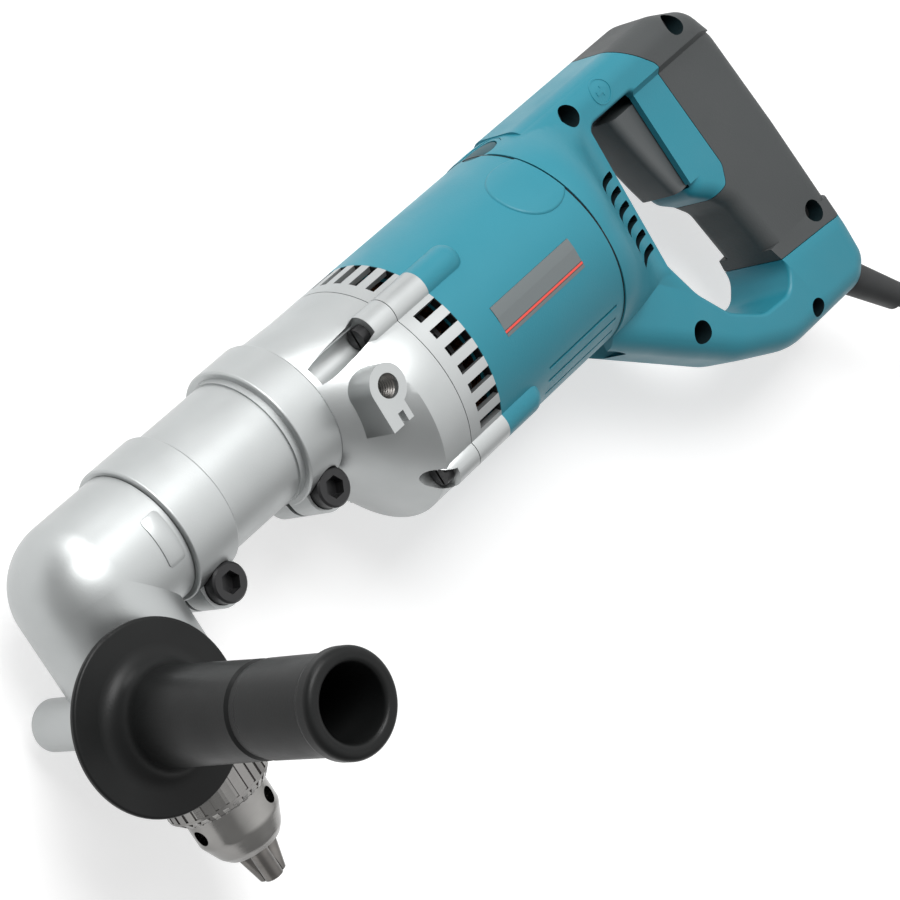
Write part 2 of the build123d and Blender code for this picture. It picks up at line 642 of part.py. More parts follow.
for y, z in lobe_places:
    lobe_tip = case_end - LOBE_TAPER - LOBE_STRAIGHT
    gear_housing += turned_x([
        (lobe_tip, 0), (lobe_tip, 2), (case_end - LOBE_STRAIGHT, LOBE_R), (case_end, LOBE_R),
        (case_end, 0)], y, z)
bush_seat = INTER_SHAFT_R + BUSH_WALL + SEAT
case_rooms = [
    rod_x(spindle_seat, case_spigot_start - 1, output_bearing_end + SEAT),
    rod_x(SPINDLE_BEARING[0] + 3.5, case_spigot_start, output_gear_start),
    rod_x(output_tip + 0.7, output_gear_start - 1, output_gear_end + 2.5),
    rod_x(bush_seat, front_bush_end - BUSH_LENGTH - 2 * SEAT, output_gear_start, inter_y, inter_z),
    rod_x(INTER_SHAFT_R + 4, output_gear_start - 1.2, wheel_start, inter_y, inter_z),
    rod_x(wheel_tip + 0.8, wheel_start - 1, bulkhead_start, inter_y, inter_z),
    rod_x(CHAMBER_R - 7, output_gear_end + 2, bulkhead_start, motor_y),
    rod_x(CHAMBER_R, bulkhead_start - SEAT, case_end + 1, motor_y),
    rod_z(GRIP_THREAD_R, SIDE_BOSS_TOP - GRIP_THREAD_DEPTH, SIDE_BOSS_TOP + 1, side_boss_x, SIDE_BOSS_Y)]
for y, z in lobe_places:
    case_rooms.append(rod_x(SCREW_HEAD_R + 0.9, case_end - 40, case_end - SCREW_RECESS, y, z))
    case_rooms.append(rod_x(SCREW_R + SEAT, case_end - 20, case_end + 1, y, z))
gear_housing = gear_housing - case_rooms
save("gear_housing", gear_housing)

# Rear casting: bulkhead with the bearing seats, fan ring with comb-shaped air slots.
gear_housing_cover = rod_x(BARREL_R, case_end, cover_end, motor_y)
for y, z in lobe_places:
    gear_housing_cover += rod_x(LOBE_R, case_end, cover_end, y, z)
gear_housing_cover -= rod_x(CHAMBER_R, bulkhead_end, cover_end + 1, motor_y)
gear_housing_cover += rod_x(CHAMBER_R - SEAT, bulkhead_start, case_end + 1, motor_y)
seam_skin = BARREL_R - 2 * SEAM
seam_ring = rod_x(BARREL_R + 9, case_end - 1, case_end + SEAM, motor_y)
seam_ring -= rod_x(seam_skin, case_end - 2, case_end + 2, motor_y)
gear_housing_cover -= seam_ring
small_seat = SMALL_BEARING[1] + SEAT
cover_rooms = [
    rod_x(small_seat, bulkhead_end - SMALL_BEARING[2] - 1, bulkhead_end + 1, motor_y),
    rod_x(SMALL_BEARING[0] + 2.5, bulkhead_start - 1, bulkhead_end, motor_y),
    rod_x(OUTPUT_TAIL_R + BUSH_WALL + SEAT, bulkhead_start - 1, rear_bush_end),
    rod_x(bush_seat, bulkhead_start - 1, rear_bush_end, inter_y, inter_z)]
for y, z in lobe_places:
    cover_rooms.append(rod_x(SCREW_R + SEAT, bulkhead_start - 1, cover_end + 1, y, z))
vent_start = cover_end - VENT_LENGTH
vent = block(vent_start, cover_end + 1, CHAMBER_R - 4, BARREL_R + 5, -VENT_WIDTH / 2, VENT_WIDTH / 2)
for side in range(4):
    for slot in range(VENT_COUNT):
        angle = 90 * side + VENT_STEP * (slot - (VENT_COUNT - 1) / 2)
        cover_rooms.append(Pos(0, motor_y, 0) * Rot(angle, 0, 0) * vent)
gear_housing_cover = gear_housing_cover - cover_rooms
save("gear_housing_cover", gear_housing_cover)

# Four slotted screws hold gear case and rear casting to the motor housing.
housing_screws = []
screw_head_end = case_end - SCREW_RECESS
screw_head_start = screw_head_end - SCREW_HEAD_HEIGHT
for y, z in lobe_places:
    screw = rod_x(SCREW_HEAD_R, screw_head_start, screw_head_end, y, z)
    screw += rod_x(SCREW_R, screw_head_end, cover_end + SCREW_BITE, y, z)
    screw -= block(screw_head_start - 1, screw_head_start + 1.5, y - 6, y + 6, z - 0.6, z + 0.6)
    housing_screws.append(screw)
save("housing_screws", Compound(children=housing_screws))

# Gears: teeth of each pair meet on the line of centres.
to_motor = atan2(-inter_z, motor_y - inter_y)
to_output = atan2(-inter_z, -inter_y)
wheel_outline = gear_outline(WHEEL_TEETH, FIRST_MODULE, -PINION_SHIFT, 0.8, TOOTH_PLAY)
motor_pinion_outline = gear_outline(MOTOR_PINION_TEETH, FIRST_MODULE, PINION_SHIFT, 0.7, TOOTH_PLAY)
output_outline = gear_outline(OUTPUT_TEETH, SECOND_MODULE, -PINION_SHIFT, 0.8, TOOTH_PLAY)
inter_pinion_outline = gear_outline(INTER_PINION_TEETH, SECOND_MODULE, PINION_SHIFT, 0.7, TOOTH_PLAY)

intermediate_wheel = spur_gear(wheel_outline, wheel_start, WHEEL_WIDTH, inter_y, inter_z, to_motor)
intermediate_wheel -= rod_x(INTER_SHAFT_R + SEAT, wheel_start - 1, wheel_end + 1, inter_y, inter_z)
save("intermediate_wheel", intermediate_wheel)

inter_start = front_bush_end - BUSH_LENGTH + 0.5
pinion_start = output_gear_start - 1
intermediate_shaft = spur_gear(
    inter_pinion_outline, pinion_start, OUTPUT_GEAR_WIDTH + 2, inter_y, inter_z, to_output)
intermediate_shaft += rod_x(INTER_SHAFT_R - RUN, inter_start, output_gear_start, inter_y, inter_z)
intermediate_shaft += rod_x(INTER_SHAFT_R - RUN, output_gear_end, rear_bush_end - 0.5, inter_y, inter_z)
save("intermediate_shaft", intermediate_shaft)


def bush(radius, end, y, z):
    ring = rod_x(radius + BUSH_WALL, end - BUSH_LENGTH, end, y, z)
    return ring - rod_x(radius, end - BUSH_LENGTH - 1, end + 1, y, z)


intermediate_bushes = [bush(INTER_SHAFT_R, front_bush_end - SEAT, inter_y, inter_z)]
intermediate_bushes.append(bush(INTER_SHAFT_R, rear_bush_end - SEAT, inter_y, inter_z))
save("intermediate_bushes", Compound(children=intermediate_bushes))

output_phase = to_output + pi + pi / OUTPUT_TEETH
output_gear = spur_gear(output_outline, output_gear_start, OUTPUT_GEAR_WIDTH, 0, 0, output_phase)
output_gear -= rod_x(OUTPUT_SHAFT_R + SEAT, output_gear_start - 1, output_gear_end + 1)
save("output_gear", output_gear)

socket_start = tail_start + 11
collar_start = output_bearing_end + SEAT
collar_end = output_bearing_end + 3
spindle_end = rear_bush_end - 0.5
seat_r = SPINDLE_BEARING[0] - RUN
tail_r = OUTPUT_TAIL_R - RUN
output_spindle = turned_x([
    (socket_start, hex_r + GAP), (socket_start, seat_r), (collar_start, seat_r), (collar_start, seat_r + 2),
    (collar_end, seat_r + 2), (collar_end, OUTPUT_SHAFT_R), (output_gear_end + 1, OUTPUT_SHAFT_R),
    (output_gear_end + 1, tail_r), (spindle_end, tail_r), (spindle_end, 0), (tail_end + 1, 0),
    (tail_end + 1, hex_r + GAP)])
save("output_spindle", output_spindle)
save("output_bearing", bearing_x(SPINDLE_BEARING, output_bearing_start))
save("output_bush", bush(OUTPUT_TAIL_R, rear_bush_end - SEAT, 0, 0))

# Motor housing: barrel, short screw pads, rear wall with the bearing carrier and brush towers.
brush_x = cover_end + BRUSH_BACK
rear_bearing_start = brush_x + 16
carrier_end = rear_bearing_start + SMALL_BEARING[2] + 1
rear_wall = 6.0
tower_end = BARREL_R - 2.0
motor_housing = rod_x(BARREL_R, cover_end, motor_end, motor_y)
for y, z in lobe_places:
    pad_end = cover_end + LOBE_PAD
    motor_housing += turned_x([
        (cover_end, 0), (cover_end, LOBE_R), (pad_end, LOBE_R, LOBE_R - 1), (pad_end, 0)], y, z)
field_start = cover_end + FIELD_START
field_end = field_start + FIELD_LENGTH
motor_housing -= rod_x(FIELD_R + SEAT, cover_end - 1, field_end, motor_y)
motor_housing -= rod_x(FIELD_R - 3, field_end - 1, motor_end - rear_wall, motor_y)
motor_housing += rod_x(FIELD_R + 2.5, motor_end - 1, motor_end + SHELL_SPIGOT, motor_y)
motor_housing -= rod_x(FIELD_R - 1, motor_end, motor_end + SHELL_SPIGOT + 1, motor_y)
motor_housing += rod_x(CARRIER_R, motor_end - rear_wall, carrier_end, motor_y)
for side in (0, 180):
    tower = rod_y(BRUSH_TOWER_R, COMMUTATOR_R + 3, tower_end)
    motor_housing += Pos(brush_x, motor_y, 0) * Rot(side, 0, 0) * tower
motor_rooms = [
    rod_x(COMMUTATOR_R + 2, motor_end - rear_wall - 1, rear_bearing_start - 2, motor_y),
    rod_x(MOTOR_SHAFT_R + 1, motor_end, rear_bearing_start + 1, motor_y),
    rod_x(small_seat, rear_bearing_start - SEAT, carrier_end + 1, motor_y)]
for side in (0, 180):
    place = Pos(brush_x, motor_y, 0) * Rot(side, 0, 0)
    motor_rooms.append(place * rod_y(BRUSH_HOLDER_R + SEAT, COMMUTATOR_R, BARREL_R + 2))
    motor_rooms.append(place * rod_y(BRUSH_CAP_R + SEAT, tower_end - 3.5, BARREL_R + 2))
for y, z in lobe_places:
    motor_rooms.append(rod_x(SCREW_R + SEAT, cover_end - 1, cover_end + SCREW_BITE + 1, y, z))
motor_housing = motor_housing - motor_rooms
plate_start = cover_end + PLATE_BACK
plate_end = plate_start + PLATE_LENGTH
plate_foot = motor_y - PLATE_BELOW
plate_top = motor_y + PLATE_ABOVE
bed = rod_x(BARREL_R - PLATE_SINK, plate_start - 1, plate_end + 1, motor_y)
name_plate = block(plate_start, plate_end, plate_foot, plate_top, 0, BARREL_R)
name_plate = name_plate & (rod_x(BARREL_R + PLATE_STAND, plate_start - 1, plate_end + 1, motor_y) - bed)
pocket = block(plate_start - SEAT, plate_end + SEAT, plate_foot - SEAT, plate_top + SEAT, 0, BARREL_R + 1)
motor_housing -= pocket - bed
rib_end = motor_end - RIB_BACK
rib_rod = rod_x(BARREL_R - RIB_DEPTH, rib_end - RIB_LENGTH - 1, rib_end + 1, motor_y)
for side in (1, -1):
    for angle in RIB_ANGLES:
        slot = block(rib_end - RIB_LENGTH, rib_end, 20, BARREL_R + 2, -RIB_WIDTH / 2, RIB_WIDTH / 2)
        motor_housing -= Pos(0, motor_y, 0) * Rot(180 - side * angle, 0, 0) * slot - rib_rod
save("motor_housing", motor_housing)
save("name_plate", name_plate)

# Field: laminated core with two poles, coils round the poles.
field_core = rod_x(FIELD_R, field_start, field_end, motor_y)
field_core -= rod_x(FIELD_BORE, field_start - 1, field_end + 1, motor_y)
pocket = rod_x(COIL_OUTER + GAP, field_start - 1, field_end + 1, motor_y)
pocket &= block(field_start - 1, field_end + 1, motor_y - 60, motor_y + 60, -21, 21)
field_core -= pocket
save("field_core", field_core)

coil_ring = rod_x(COIL_OUTER, field_start - COIL_OVERHANG, field_end + COIL_OVERHANG, motor_y)
coil_ring -= rod_x(COIL_INNER, field_start - 20, field_end + 20, motor_y)
pole_room = block(field_start - 5, field_end + 5, motor_y - 60, motor_y + 60, -21 + GAP, 21 - GAP)
pole_block = rod_x(FIELD_R, field_start - GAP, field_end + GAP, motor_y) - pole_room
parting = block(field_start - 20, field_end + 20, motor_y - 60, motor_y + 60, -0.6, 0.6)
field_coils = coil_ring - pole_block - parting
save("field_coils", field_coils)

# Armature: shaft with its cut pinion, slotted core, windings, commutator, fan.
core_start = field_start + 3
core_end = field_end - 3
front_bearing_start = bulkhead_end - SMALL_BEARING[2] - 1 + SEAT
front_bearing_end = front_bearing_start + SMALL_BEARING[2]
journal = SMALL_BEARING[0] - RUN
armature_shaft = turned_x([
    (wheel_end + 0.5, 0), (wheel_end + 0.5, journal), (front_bearing_end + SEAT, journal),
    (front_bearing_end + SEAT, MOTOR_SHAFT_R), (rear_bearing_start - SEAT, MOTOR_SHAFT_R),
    (rear_bearing_start - SEAT, journal), (carrier_end, journal), (carrier_end, 0)], motor_y)
motor_phase = to_motor + pi + pi / MOTOR_PINION_TEETH
armature_shaft += spur_gear(motor_pinion_outline, wheel_start - 1, WHEEL_WIDTH + 2, motor_y, 0, motor_phase)
save("armature_shaft", armature_shaft)

slot_r = 2.4
slot_reach = ARMATURE_R - 3.2
slots = []
bars = []
for slot in range(ARMATURE_SLOTS):
    angle = 2 * pi * slot / ARMATURE_SLOTS
    y = motor_y + slot_reach * cos(angle)
    z = slot_reach * sin(angle)
    slots.append(rod_x(slot_r, core_start - 1, core_end + 1, y, z))
    mouth = block(core_start - 1, core_end + 1, slot_reach, ARMATURE_R + 1, -1.2, 1.2)
    slots.append(Pos(0, motor_y, 0) * Rot(degrees(angle), 0, 0) * mouth)
    bars.append(rod_x(slot_r - 0.2, core_start - 3, core_end + 3, y, z))
armature_core = rod_x(ARMATURE_R, core_start, core_end, motor_y) - slots
armature_core -= rod_x(MOTOR_SHAFT_R + SEAT, core_start - 1, core_end + 1, motor_y)
save("armature_core", armature_core)

ends = []
for start in (core_start - 9, core_end + 0.2):
    end = start + 8.8
    ends.append(turned_x([(start, 9), (start, 17), (start + 4, 22.8, 3), (end, 22.8), (end, 9)], motor_y))
armature_windings = ends[0] + bars + ends[1]
save("armature_windings", armature_windings)

commutator_start = brush_x - COMMUTATOR_LENGTH / 2
commutator = rod_x(COMMUTATOR_R, commutator_start, commutator_start + COMMUTATOR_LENGTH, motor_y)
commutator += rod_x(COMMUTATOR_R + 1.4, commutator_start - 3.5, commutator_start + 2, motor_y)
commutator -= rod_x(MOTOR_SHAFT_R + SEAT, brush_x - 30, brush_x + 30, motor_y)
save("commutator", commutator)

fan_start = bulkhead_end + 3
fan_end = fan_start + FAN_WIDTH
fan = rod_x(10, fan_start, fan_end + 6, motor_y) + rod_x(FAN_R, fan_end - 2, fan_end, motor_y)
blade = block(fan_start, fan_start + FAN_WIDTH - 1, 20, FAN_R - 0.5, -0.8, 0.8)
fan = fan + [Pos(0, motor_y, 0) * Rot(360 * k / FAN_BLADES, 0, 0) * blade for k in range(FAN_BLADES)]
fan -= rod_x(MOTOR_SHAFT_R + SEAT, fan_start - 1, fan_start + 40, motor_y)
save("fan", fan)

bearing_starts = (front_bearing_start, rear_bearing_start)
armature_bearings = [bearing_x(SMALL_BEARING, start, motor_y) for start in bearing_starts]
save("armature_bearings", Compound(children=armature_bearings))

# Brush gear on both sides of the commutator.
brush_holders = []
carbon_brushes = []
brush_springs = []
brush_caps = []
holder_end = tower_end - 7.5
brush_end = holder_end - BRUSH_SPRING
wide = BRUSH_WIDE / 2
long = BRUSH_LONG / 2
for side in (0, 180):
    place = Pos(brush_x, motor_y, 0) * Rot(side, 0, 0)
    holder = rod_y(BRUSH_HOLDER_R, COMMUTATOR_R + 2.2, holder_end)
    holder -= block(-wide - SEAT, wide + SEAT, COMMUTATOR_R, 60, -long - SEAT, long + SEAT)
    brush_holders.append(place * holder)
    brush = block(-wide, wide, 0, brush_end, -long, long) - rod_x(COMMUTATOR_R + RUN, -20, 20)
    carbon_brushes.append(place * brush)
    spring = rod_y(2.6, brush_end + SEAT, holder_end - SEAT) - rod_y(1.9, brush_end - 1, holder_end + 1)
    brush_springs.append(place * spring)
    cap = rod_y(BRUSH_HOLDER_R, holder_end, tower_end - 3.4)
    cap += rod_y(BRUSH_CAP_R, tower_end - 3.4, tower_end - 0.3)
    cap -= block(-BRUSH_CAP_R, BRUSH_CAP_R, tower_end - 1.6, tower_end, -0.9, 0.9)
    brush_caps.append(place * cap)
save("brush_holders", Compound(children=brush_holders))
save("carbon_brushes", Compound(children=carbon_brushes))
save("brush_springs", Compound(children=brush_springs))
save("brush_caps", Compound(children=brush_caps))

# D-handle in two moulded halves. X is counted from the rear face of the motor housing.
handle_corners = [
    (16, 28.3), (114, 28.3, 20), (134, 20, 14), (142, 4, 14), (149.5, -45, 60), (156.5, -104, 50),
    (157, -122, 13),
    (147, -131.5, 13), (92, -130.5, 40), (60, -116, 40), (2, -72), (2, -58), (16, -44)]
opening_corners = [
    (47, 10, 5), (79.5, 10, 4), (84.5, -46.5, 9), (93.5, -53, 6), (100.5, -61, 12), (108.5, -99, 9),
    (101, -108, 8),
    (82, -106.5, 14), (65, -95, 20), (54, -78, 25), (47, -58, 20)]
cover_corners = [
    (80, 40), (81.5, 29), (98, 11.5, 8), (105.5, -43, 6), (102, -51, 4), (93, -53.5, 4), (70, -53.5),
    (70, -94),
    (92, -91, 20), (101, -94, 20), (140.5, -97, 20), (170, -100), (170, 40)]
shell_sections = [(0, 96.6, 96.6, 46.5), (12, 96.4, 90, 42), (30, 98, 56, 26), (46, 100, 40, 12)]
screw_places = [(40.6, 19.4), (119.1, 19.7), (140.1, -88.7), (45.5, -92.2), (111.9, -122.5)]
crease_y = 9.7
heel_y = -88.0


def handle_ring(half, inset, edge, lip):
    """Upper half of the D-handle's ring, drawn in by an inset, with its outer edge and its lip rounded."""
    outer = rounded_face(handle_corners)
    hole = rounded_face(opening_corners)
    if inset:
        outer = offset(outer, -inset)
        hole = offset(hole, inset)
    ring = extrude(outer, amount=half - inset) - extrude(hole, amount=half - inset)
    if edge:
        hoop = ring.faces().sort_by(Axis.Z)[-1].outer_wire().edges()
        ring = fillet([e for e in hoop if e.center().X > 20 + inset], edge - inset)
    if lip > inset:
        lips = ring.faces().sort_by(Axis.Z)[-1].inner_wires().edges()
        ring = fillet(lips, lip - inset)
    return ring


def handle_body(inset):
    """Upper half of the handle: slim grip leg, and the higher bars in front of, above and below it."""
    step = BAR_HALF - LEG_HALF
    top = [(40, -1), (40, 30), (crease_y, 30), (crease_y, BAR_HALF - inset),
           (crease_y - step, LEG_HALF - inset),
           (crease_y - step, -1)]
    heel = [(-150, -1), (-150, 30), (heel_y - 12, 30), (heel_y - 12, BAR_HALF - inset),
            (heel_y, LEG_HALF - inset),
            (heel_y, -1)]
    across = Plane(origin=(-5, 0, 0), x_dir=(0, 1, 0), z_dir=(1, 0, 0))
    bars = [extrude(across * make_face(Polyline(side, close=True)), amount=180) for side in (top, heel)]
    bars.append(block(-5, 62, -140, 40, -1, 30))
    bars.append(block(61, 93, -140, -56, -1, 30))
    high = handle_ring(BAR_HALF, inset, BAR_EDGE, BAR_LIP)
    low = handle_ring(LEG_HALF, inset, LEG_EDGE, LEG_LIP)
    return low + [high & bar for bar in bars]


def shell_loft(wall, end):
    """Upper half of the transition from the motor barrel to the slim handle, drawn in by a wall."""
    faces = []
    for x, height, width, corner in shell_sections:
        plane = Plane(origin=(x, motor_y + (2 * BARREL_R - height) / 2, 0), x_dir=(0, 0, 1), z_dir=(1, 0, 0))
        faces.append(plane * RectangleRounded(width - 2 * wall, height - 2 * wall, corner - wall))
    return loft(faces) & block(-1, end, -80, 40, 0, 60)


place_handle = Pos(motor_end, 0, 0)
surround = extrude(rounded_face([(79.9, 9.9), (96, 9.9), (96, -40), (83.9, -40)]), amount=LEG_HALF)
ring = handle_body(0) + surround
core = handle_body(COVER_SKIN)
region = extrude(rounded_face(cover_corners), amount=BAR_HALF + 1)
lever_pin_x = 93
bridge = block(lever_pin_x - 6, lever_pin_x + 6, 9.4, 14, -1, 20)
bosses = [rod_z(HANDLE_BOSS_R, -1, 20, x, y) for x, y in screw_places]
hollow = handle_ring(LEG_HALF, HANDLE_WALL, 0, 0) + shell_loft(SHELL_WALL, 40)
hollow = hollow - bosses - bridge
half = ring - (region - core) + shell_loft(0, 50) - hollow

guard_root = (138.1, -111.5)
along_cord = Pos(*guard_root, 0) * Rot(0, 0, GUARD_ANGLE)
clamp_back = -9.0
clamp_screw_step = 8.0
ledge_foot = HANDLE_WALL - LEG_HALF - 1
ledge = along_cord * block(clamp_back - 4, clamp_back + 4, -12, 12, ledge_foot, -CORD_R - SEAT)

trigger_back = 96.0
trigger_room = trigger_back + TRIGGER_TRAVEL + 0.6
rooms = [block(70, trigger_room, -42, 9.3, -TRIGGER_HALF - GAP, TRIGGER_HALF + GAP)]
rooms.append(rod_y(LEVER_PIN_R + RUN, 9, 15, lever_pin_x))
rooms.append(along_cord * rod_x(GUARD_ROOT_R + SEAT, 5, 40))
rooms.append(along_cord * rod_x(GUARD_FLANGE_R + SEAT, 10, 14.6))
rooms.append(rod_y(BRUSH_TOWER_R + GAP, -80, 40, BRUSH_BACK - MOTOR_LENGTH))
rooms.append(rod_x(FIELD_R + 2.5 + SEAT, -1, SHELL_SPIGOT + SEAT, motor_y))
rooms.append(rod_x(BARREL_R + 5, -1, SEAM, motor_y) - rod_x(BARREL_R - 2 * SEAM, -2, SEAM + 1, motor_y))
for x, y in screw_places:
    rooms.append(rod_z(HANDLE_SCREW_R + SEAT, HANDLE_SCREW_END - 0.5, 20, x, y))
    rooms.append(rod_z(HANDLE_SCREW_HEAD_R + GAP, HANDLE_SCREW_REST, 25, x, y))
for side in (1, -1):
    rooms.append(along_cord * rod_z(1.6, -13, 0, clamp_back, side * clamp_screw_step))
    for slot in range(6):
        vent_y = -11.5 - 7.2 * slot
        rooms.append(block(32, 44, vent_y - 1.5, vent_y + 1.5, *sorted((side * 11, side * 35))))
save("handle_half_upper", place_handle * (half - rooms))
save("handle_half_lower", place_handle * (mirror(half, about=Plane.XY) + ledge - rooms))

# Soft grip covers on both halves, flush with the handle in front of and below them.
cover_region = extrude(offset(rounded_face(cover_corners), -SEAM), amount=BAR_HALF + 1)
cover = (ring & cover_region) - core
save("grip_cover_upper", place_handle * (cover - rooms))
save("grip_cover_lower", place_handle * (mirror(cover, about=Plane.XY) - rooms))

handle_screws = []
for x, y in screw_places:
    screw = rod_z(HANDLE_SCREW_R, HANDLE_SCREW_END, HANDLE_SCREW_REST, x, y)
    screw += rod_z(HANDLE_SCREW_HEAD_R, HANDLE_SCREW_REST, HANDLE_SCREW_REST + HANDLE_SCREW_HEAD, x, y)
    for cross in ((4.8, 1), (1, 4.8)):
        screw -= Pos(x, y, HANDLE_SCREW_REST + HANDLE_SCREW_HEAD) * Box(*cross, 3.6)
    handle_screws.append(place_handle * screw)
save("handle_screws", Compound(children=handle_screws))

# Trigger with a hollowed finger front, and the reversing lever above it.
trigger_face = rounded_face([
    (69, 3.6, 3), (trigger_back, 3.6), (trigger_back, -41.4), (75.4, -41.4, 2.5), (72.8, -18, 30)])
trigger = extrude(trigger_face, amount=TRIGGER_HALF, both=True)
rims = [e for e in trigger.edges() if e.center().X < 90 and abs(e.center().Z) > TRIGGER_HALF - 0.1]
trigger = fillet(rims, 2.0)
save("trigger", place_handle * trigger)

lever_face = rounded_face([
    (59, -LEVER_HALF, 3), (97, -LEVER_HALF, 2), (97, LEVER_HALF, 2), (59, LEVER_HALF, 3)])
reversing_lever = Pos(0, 9.0, 0) * Rot(90, 0, 0) * extrude(lever_face, amount=3.6)
reversing_lever += rod_y(LEVER_PIN_R, 8, 13.5, lever_pin_x)
save("reversing_lever", place_handle * reversing_lever)

switch_half = LEG_HALF - HANDLE_WALL - SEAT
switch_body = block(trigger_room + 0.4, trigger_room + 26.4, -36, 2, -switch_half, switch_half)
switch_body = chamfer(switch_body.edges().filter_by(Axis.X), 1.5)
save("switch_body", place_handle * switch_body)

# Cord guard through the handle's heel, and the clamp bar that holds the lead inside.
guard_end = 57.5
cord_guard = turned_x([
    (11.5, CORD_R + SEAT), (11.5, GUARD_FLANGE_R), (14.5, GUARD_FLANGE_R), (14.5, GUARD_ROOT_R),
    (26, GUARD_ROOT_R),
    (guard_end, GUARD_END_R, 1.2), (guard_end, CORD_R + SEAT)])
save("cord_guard", place_handle * along_cord * cord_guard)

bar_foot = CORD_R + SEAT
cord_clamp = block(clamp_back - 3.5, clamp_back + 3.5, -11, 11, bar_foot, bar_foot + 4)
clamp_screws = []
for side in (1, -1):
    cord_clamp -= rod_z(1.6, 0, 20, clamp_back, side * clamp_screw_step)
    screw = rod_z(1.55, -12.5, bar_foot + 4, clamp_back, side * clamp_screw_step)
    screw += rod_z(2.7, bar_foot + 4, bar_foot + 6, clamp_back, side * clamp_screw_step)
    clamp_screws.append(place_handle * along_cord * screw)
save("cord_clamp", place_handle * along_cord * cord_clamp)
save("cord_clamp_screws", Compound(children=clamp_screws))

# Mains lead: straight through clamp and guard, down to the bench, into a tied coil.
floor_z = -ELBOW[2]
coil_z = floor_z + CORD_R + TIE_THICK + 0.6
guard_x = motor_end + guard_root[0]
heading = (cos(radians(GUARD_ANGLE)), sin(radians(GUARD_ANGLE)))
entry_heading = Vector(1, 0, 0)
entry_side = Vector(-entry_heading.Y, entry_heading.X, 0)
coil_entry = Vector(665, -203.5, coil_z)
coil_centre = coil_entry + entry_side * COIL_START_R
cord_start = coil_entry - entry_heading * 2 * CORD_R
route = [Vector(guard_x + heading[0] * t, guard_root[1] + heading[1] * t, 0) for t in (-13, 112)]
route.append(cord_start - entry_heading * 64)
route.append(cord_start)
radii = []
for before, corner, after in zip(route, route[1:], route[2:]):
    turn = radians((corner - before).get_angle(after - corner))
    shorter = min((corner - before).length, (after - corner).length)
    radii.append(0.45 * shorter / tan(turn / 2))
cord_path = FilletPolyline(*route, radius=radii)
cord_section = Plane(origin=route[0], z_dir=route[1] - route[0]) * Circle(CORD_R)
power_cord = sweep(cord_section, path=cord_path)
print("cord runs", [round((b - a).length, 1) for a, b in zip(route, route[1:])])
print("cord radii", [round(r) for r in radii])
print("cord volume over section times length", power_cord.volume / (pi * CORD_R**2 * cord_path.length))
save("power_cord", power_cord)


def coil_point(turns):
    """Middle of the lead after some turns: spirals in on the bench, climbs, spirals out on top."""
    half_way = COIL_TURNS / 2
    reach = COIL_START_R - COIL_PITCH * (half_way - abs(turns - half_way))
    climb = min(1, max(0, (turns - half_way + 0.25) / 0.5))
    height = coil_z + COIL_LAYER * climb
    if turns > COIL_TURNS:
        share = (turns - COIL_TURNS) / TAIL_TURNS
        ease = share * share * (3 - 2 * share)
        reach = COIL_START_R + TAIL_SWING * ease
        height -= TAIL_DROP * ease
    angle = atan2(-entry_side.Y, -entry_side.X) + 2 * pi * turns
    return coil_centre + Vector(reach * cos(angle), reach * sin(angle), height - coil_z)


def biarc(start, start_way, end, end_way):
    """Two arcs that share a tangent and leave and arrive along the given ways."""
    chord = end - start
    ways = start_way + end_way
    bend = 2 * (1 - start_way.dot(end_way))
    lean = chord.dot(ways)
    reach = (sqrt(lean**2 + bend * chord.dot(chord)) - lean) / bend
    first = start + start_way * reach
    second = end - end_way * reach
    middle = (first + second) * 0.5
    return [TangentArc(start, middle, tangent=start_way), TangentArc(middle, end, tangent=second - first)]


quarters = [k / 4 for k in range(int(4 * (COIL_TURNS + TAIL_TURNS)) + 1)]
spots = [coil_point(turns) for turns in quarters]
ways = [(coil_point(turns + 0.01) - coil_point(turns - 0.01)).normalized() for turns in quarters]
ways[0] = entry_heading
ways[-1] = Vector(ways[-1].X, ways[-1].Y, 0).normalized()
coil_end = spots[-1] + ways[-1] * 2 * CORD_R
coil_edges = [Line(cord_start, spots[0])]
for index in range(len(spots) - 1):
    coil_edges += biarc(spots[index], ways[index], spots[index + 1], ways[index + 1])
coil_edges.append(Line(spots[-1], coil_end))
coil_path = Wire(coil_edges)
cord_coil = sweep(Plane(origin=cord_start, z_dir=entry_heading) * Circle(CORD_R), path=coil_path)
tries = 520
samples = [coil_path.position_at(k / tries) for k in range(tries + 1)]
step = coil_path.length / tries
apart = int(100 / step)
least = min((a - b).length for i, a in enumerate(samples) for b in samples[i + apart:])
print("coil gap", least - 2 * CORD_R)
print("coil volume over section times length", cord_coil.volume / (pi * CORD_R**2 * coil_path.length))
print("lead length", cord_path.length + coil_path.length)
save("cord_coil", cord_coil)

# Tie round the bundle, three quarters of a turn on from where the lead joins the coil.
tie_angle = atan2(-entry_side.Y, -entry_side.X) + 1.5 * pi
tie_inner = coil_point(2.75)
inner_reach = hypot(tie_inner.X - coil_centre.X, tie_inner.Y - coil_centre.Y) - CORD_R - 0.8
outer_reach = COIL_START_R - 0.25 * COIL_PITCH + CORD_R + 0.6
foot = floor_z + TIE_THICK + 0.25
top = coil_z + COIL_LAYER + CORD_R + 0.4
tie_way = Vector(cos(tie_angle), sin(tie_angle), 0)
tie_plane = Plane(origin=(coil_centre.X, coil_centre.Y, 0), x_dir=tie_way, z_dir=(tie_way.Y, -tie_way.X, 0))
loop = RectangleRounded(outer_reach - inner_reach, top - foot, 4)
loop = Pos((inner_reach + outer_reach) / 2, (foot + top) / 2) * loop
band = offset(loop, TIE_THICK) - loop
coil_tie = extrude(tie_plane * band, amount=TIE_WIDTH / 2, both=True)
save("coil_tie", coil_tie)

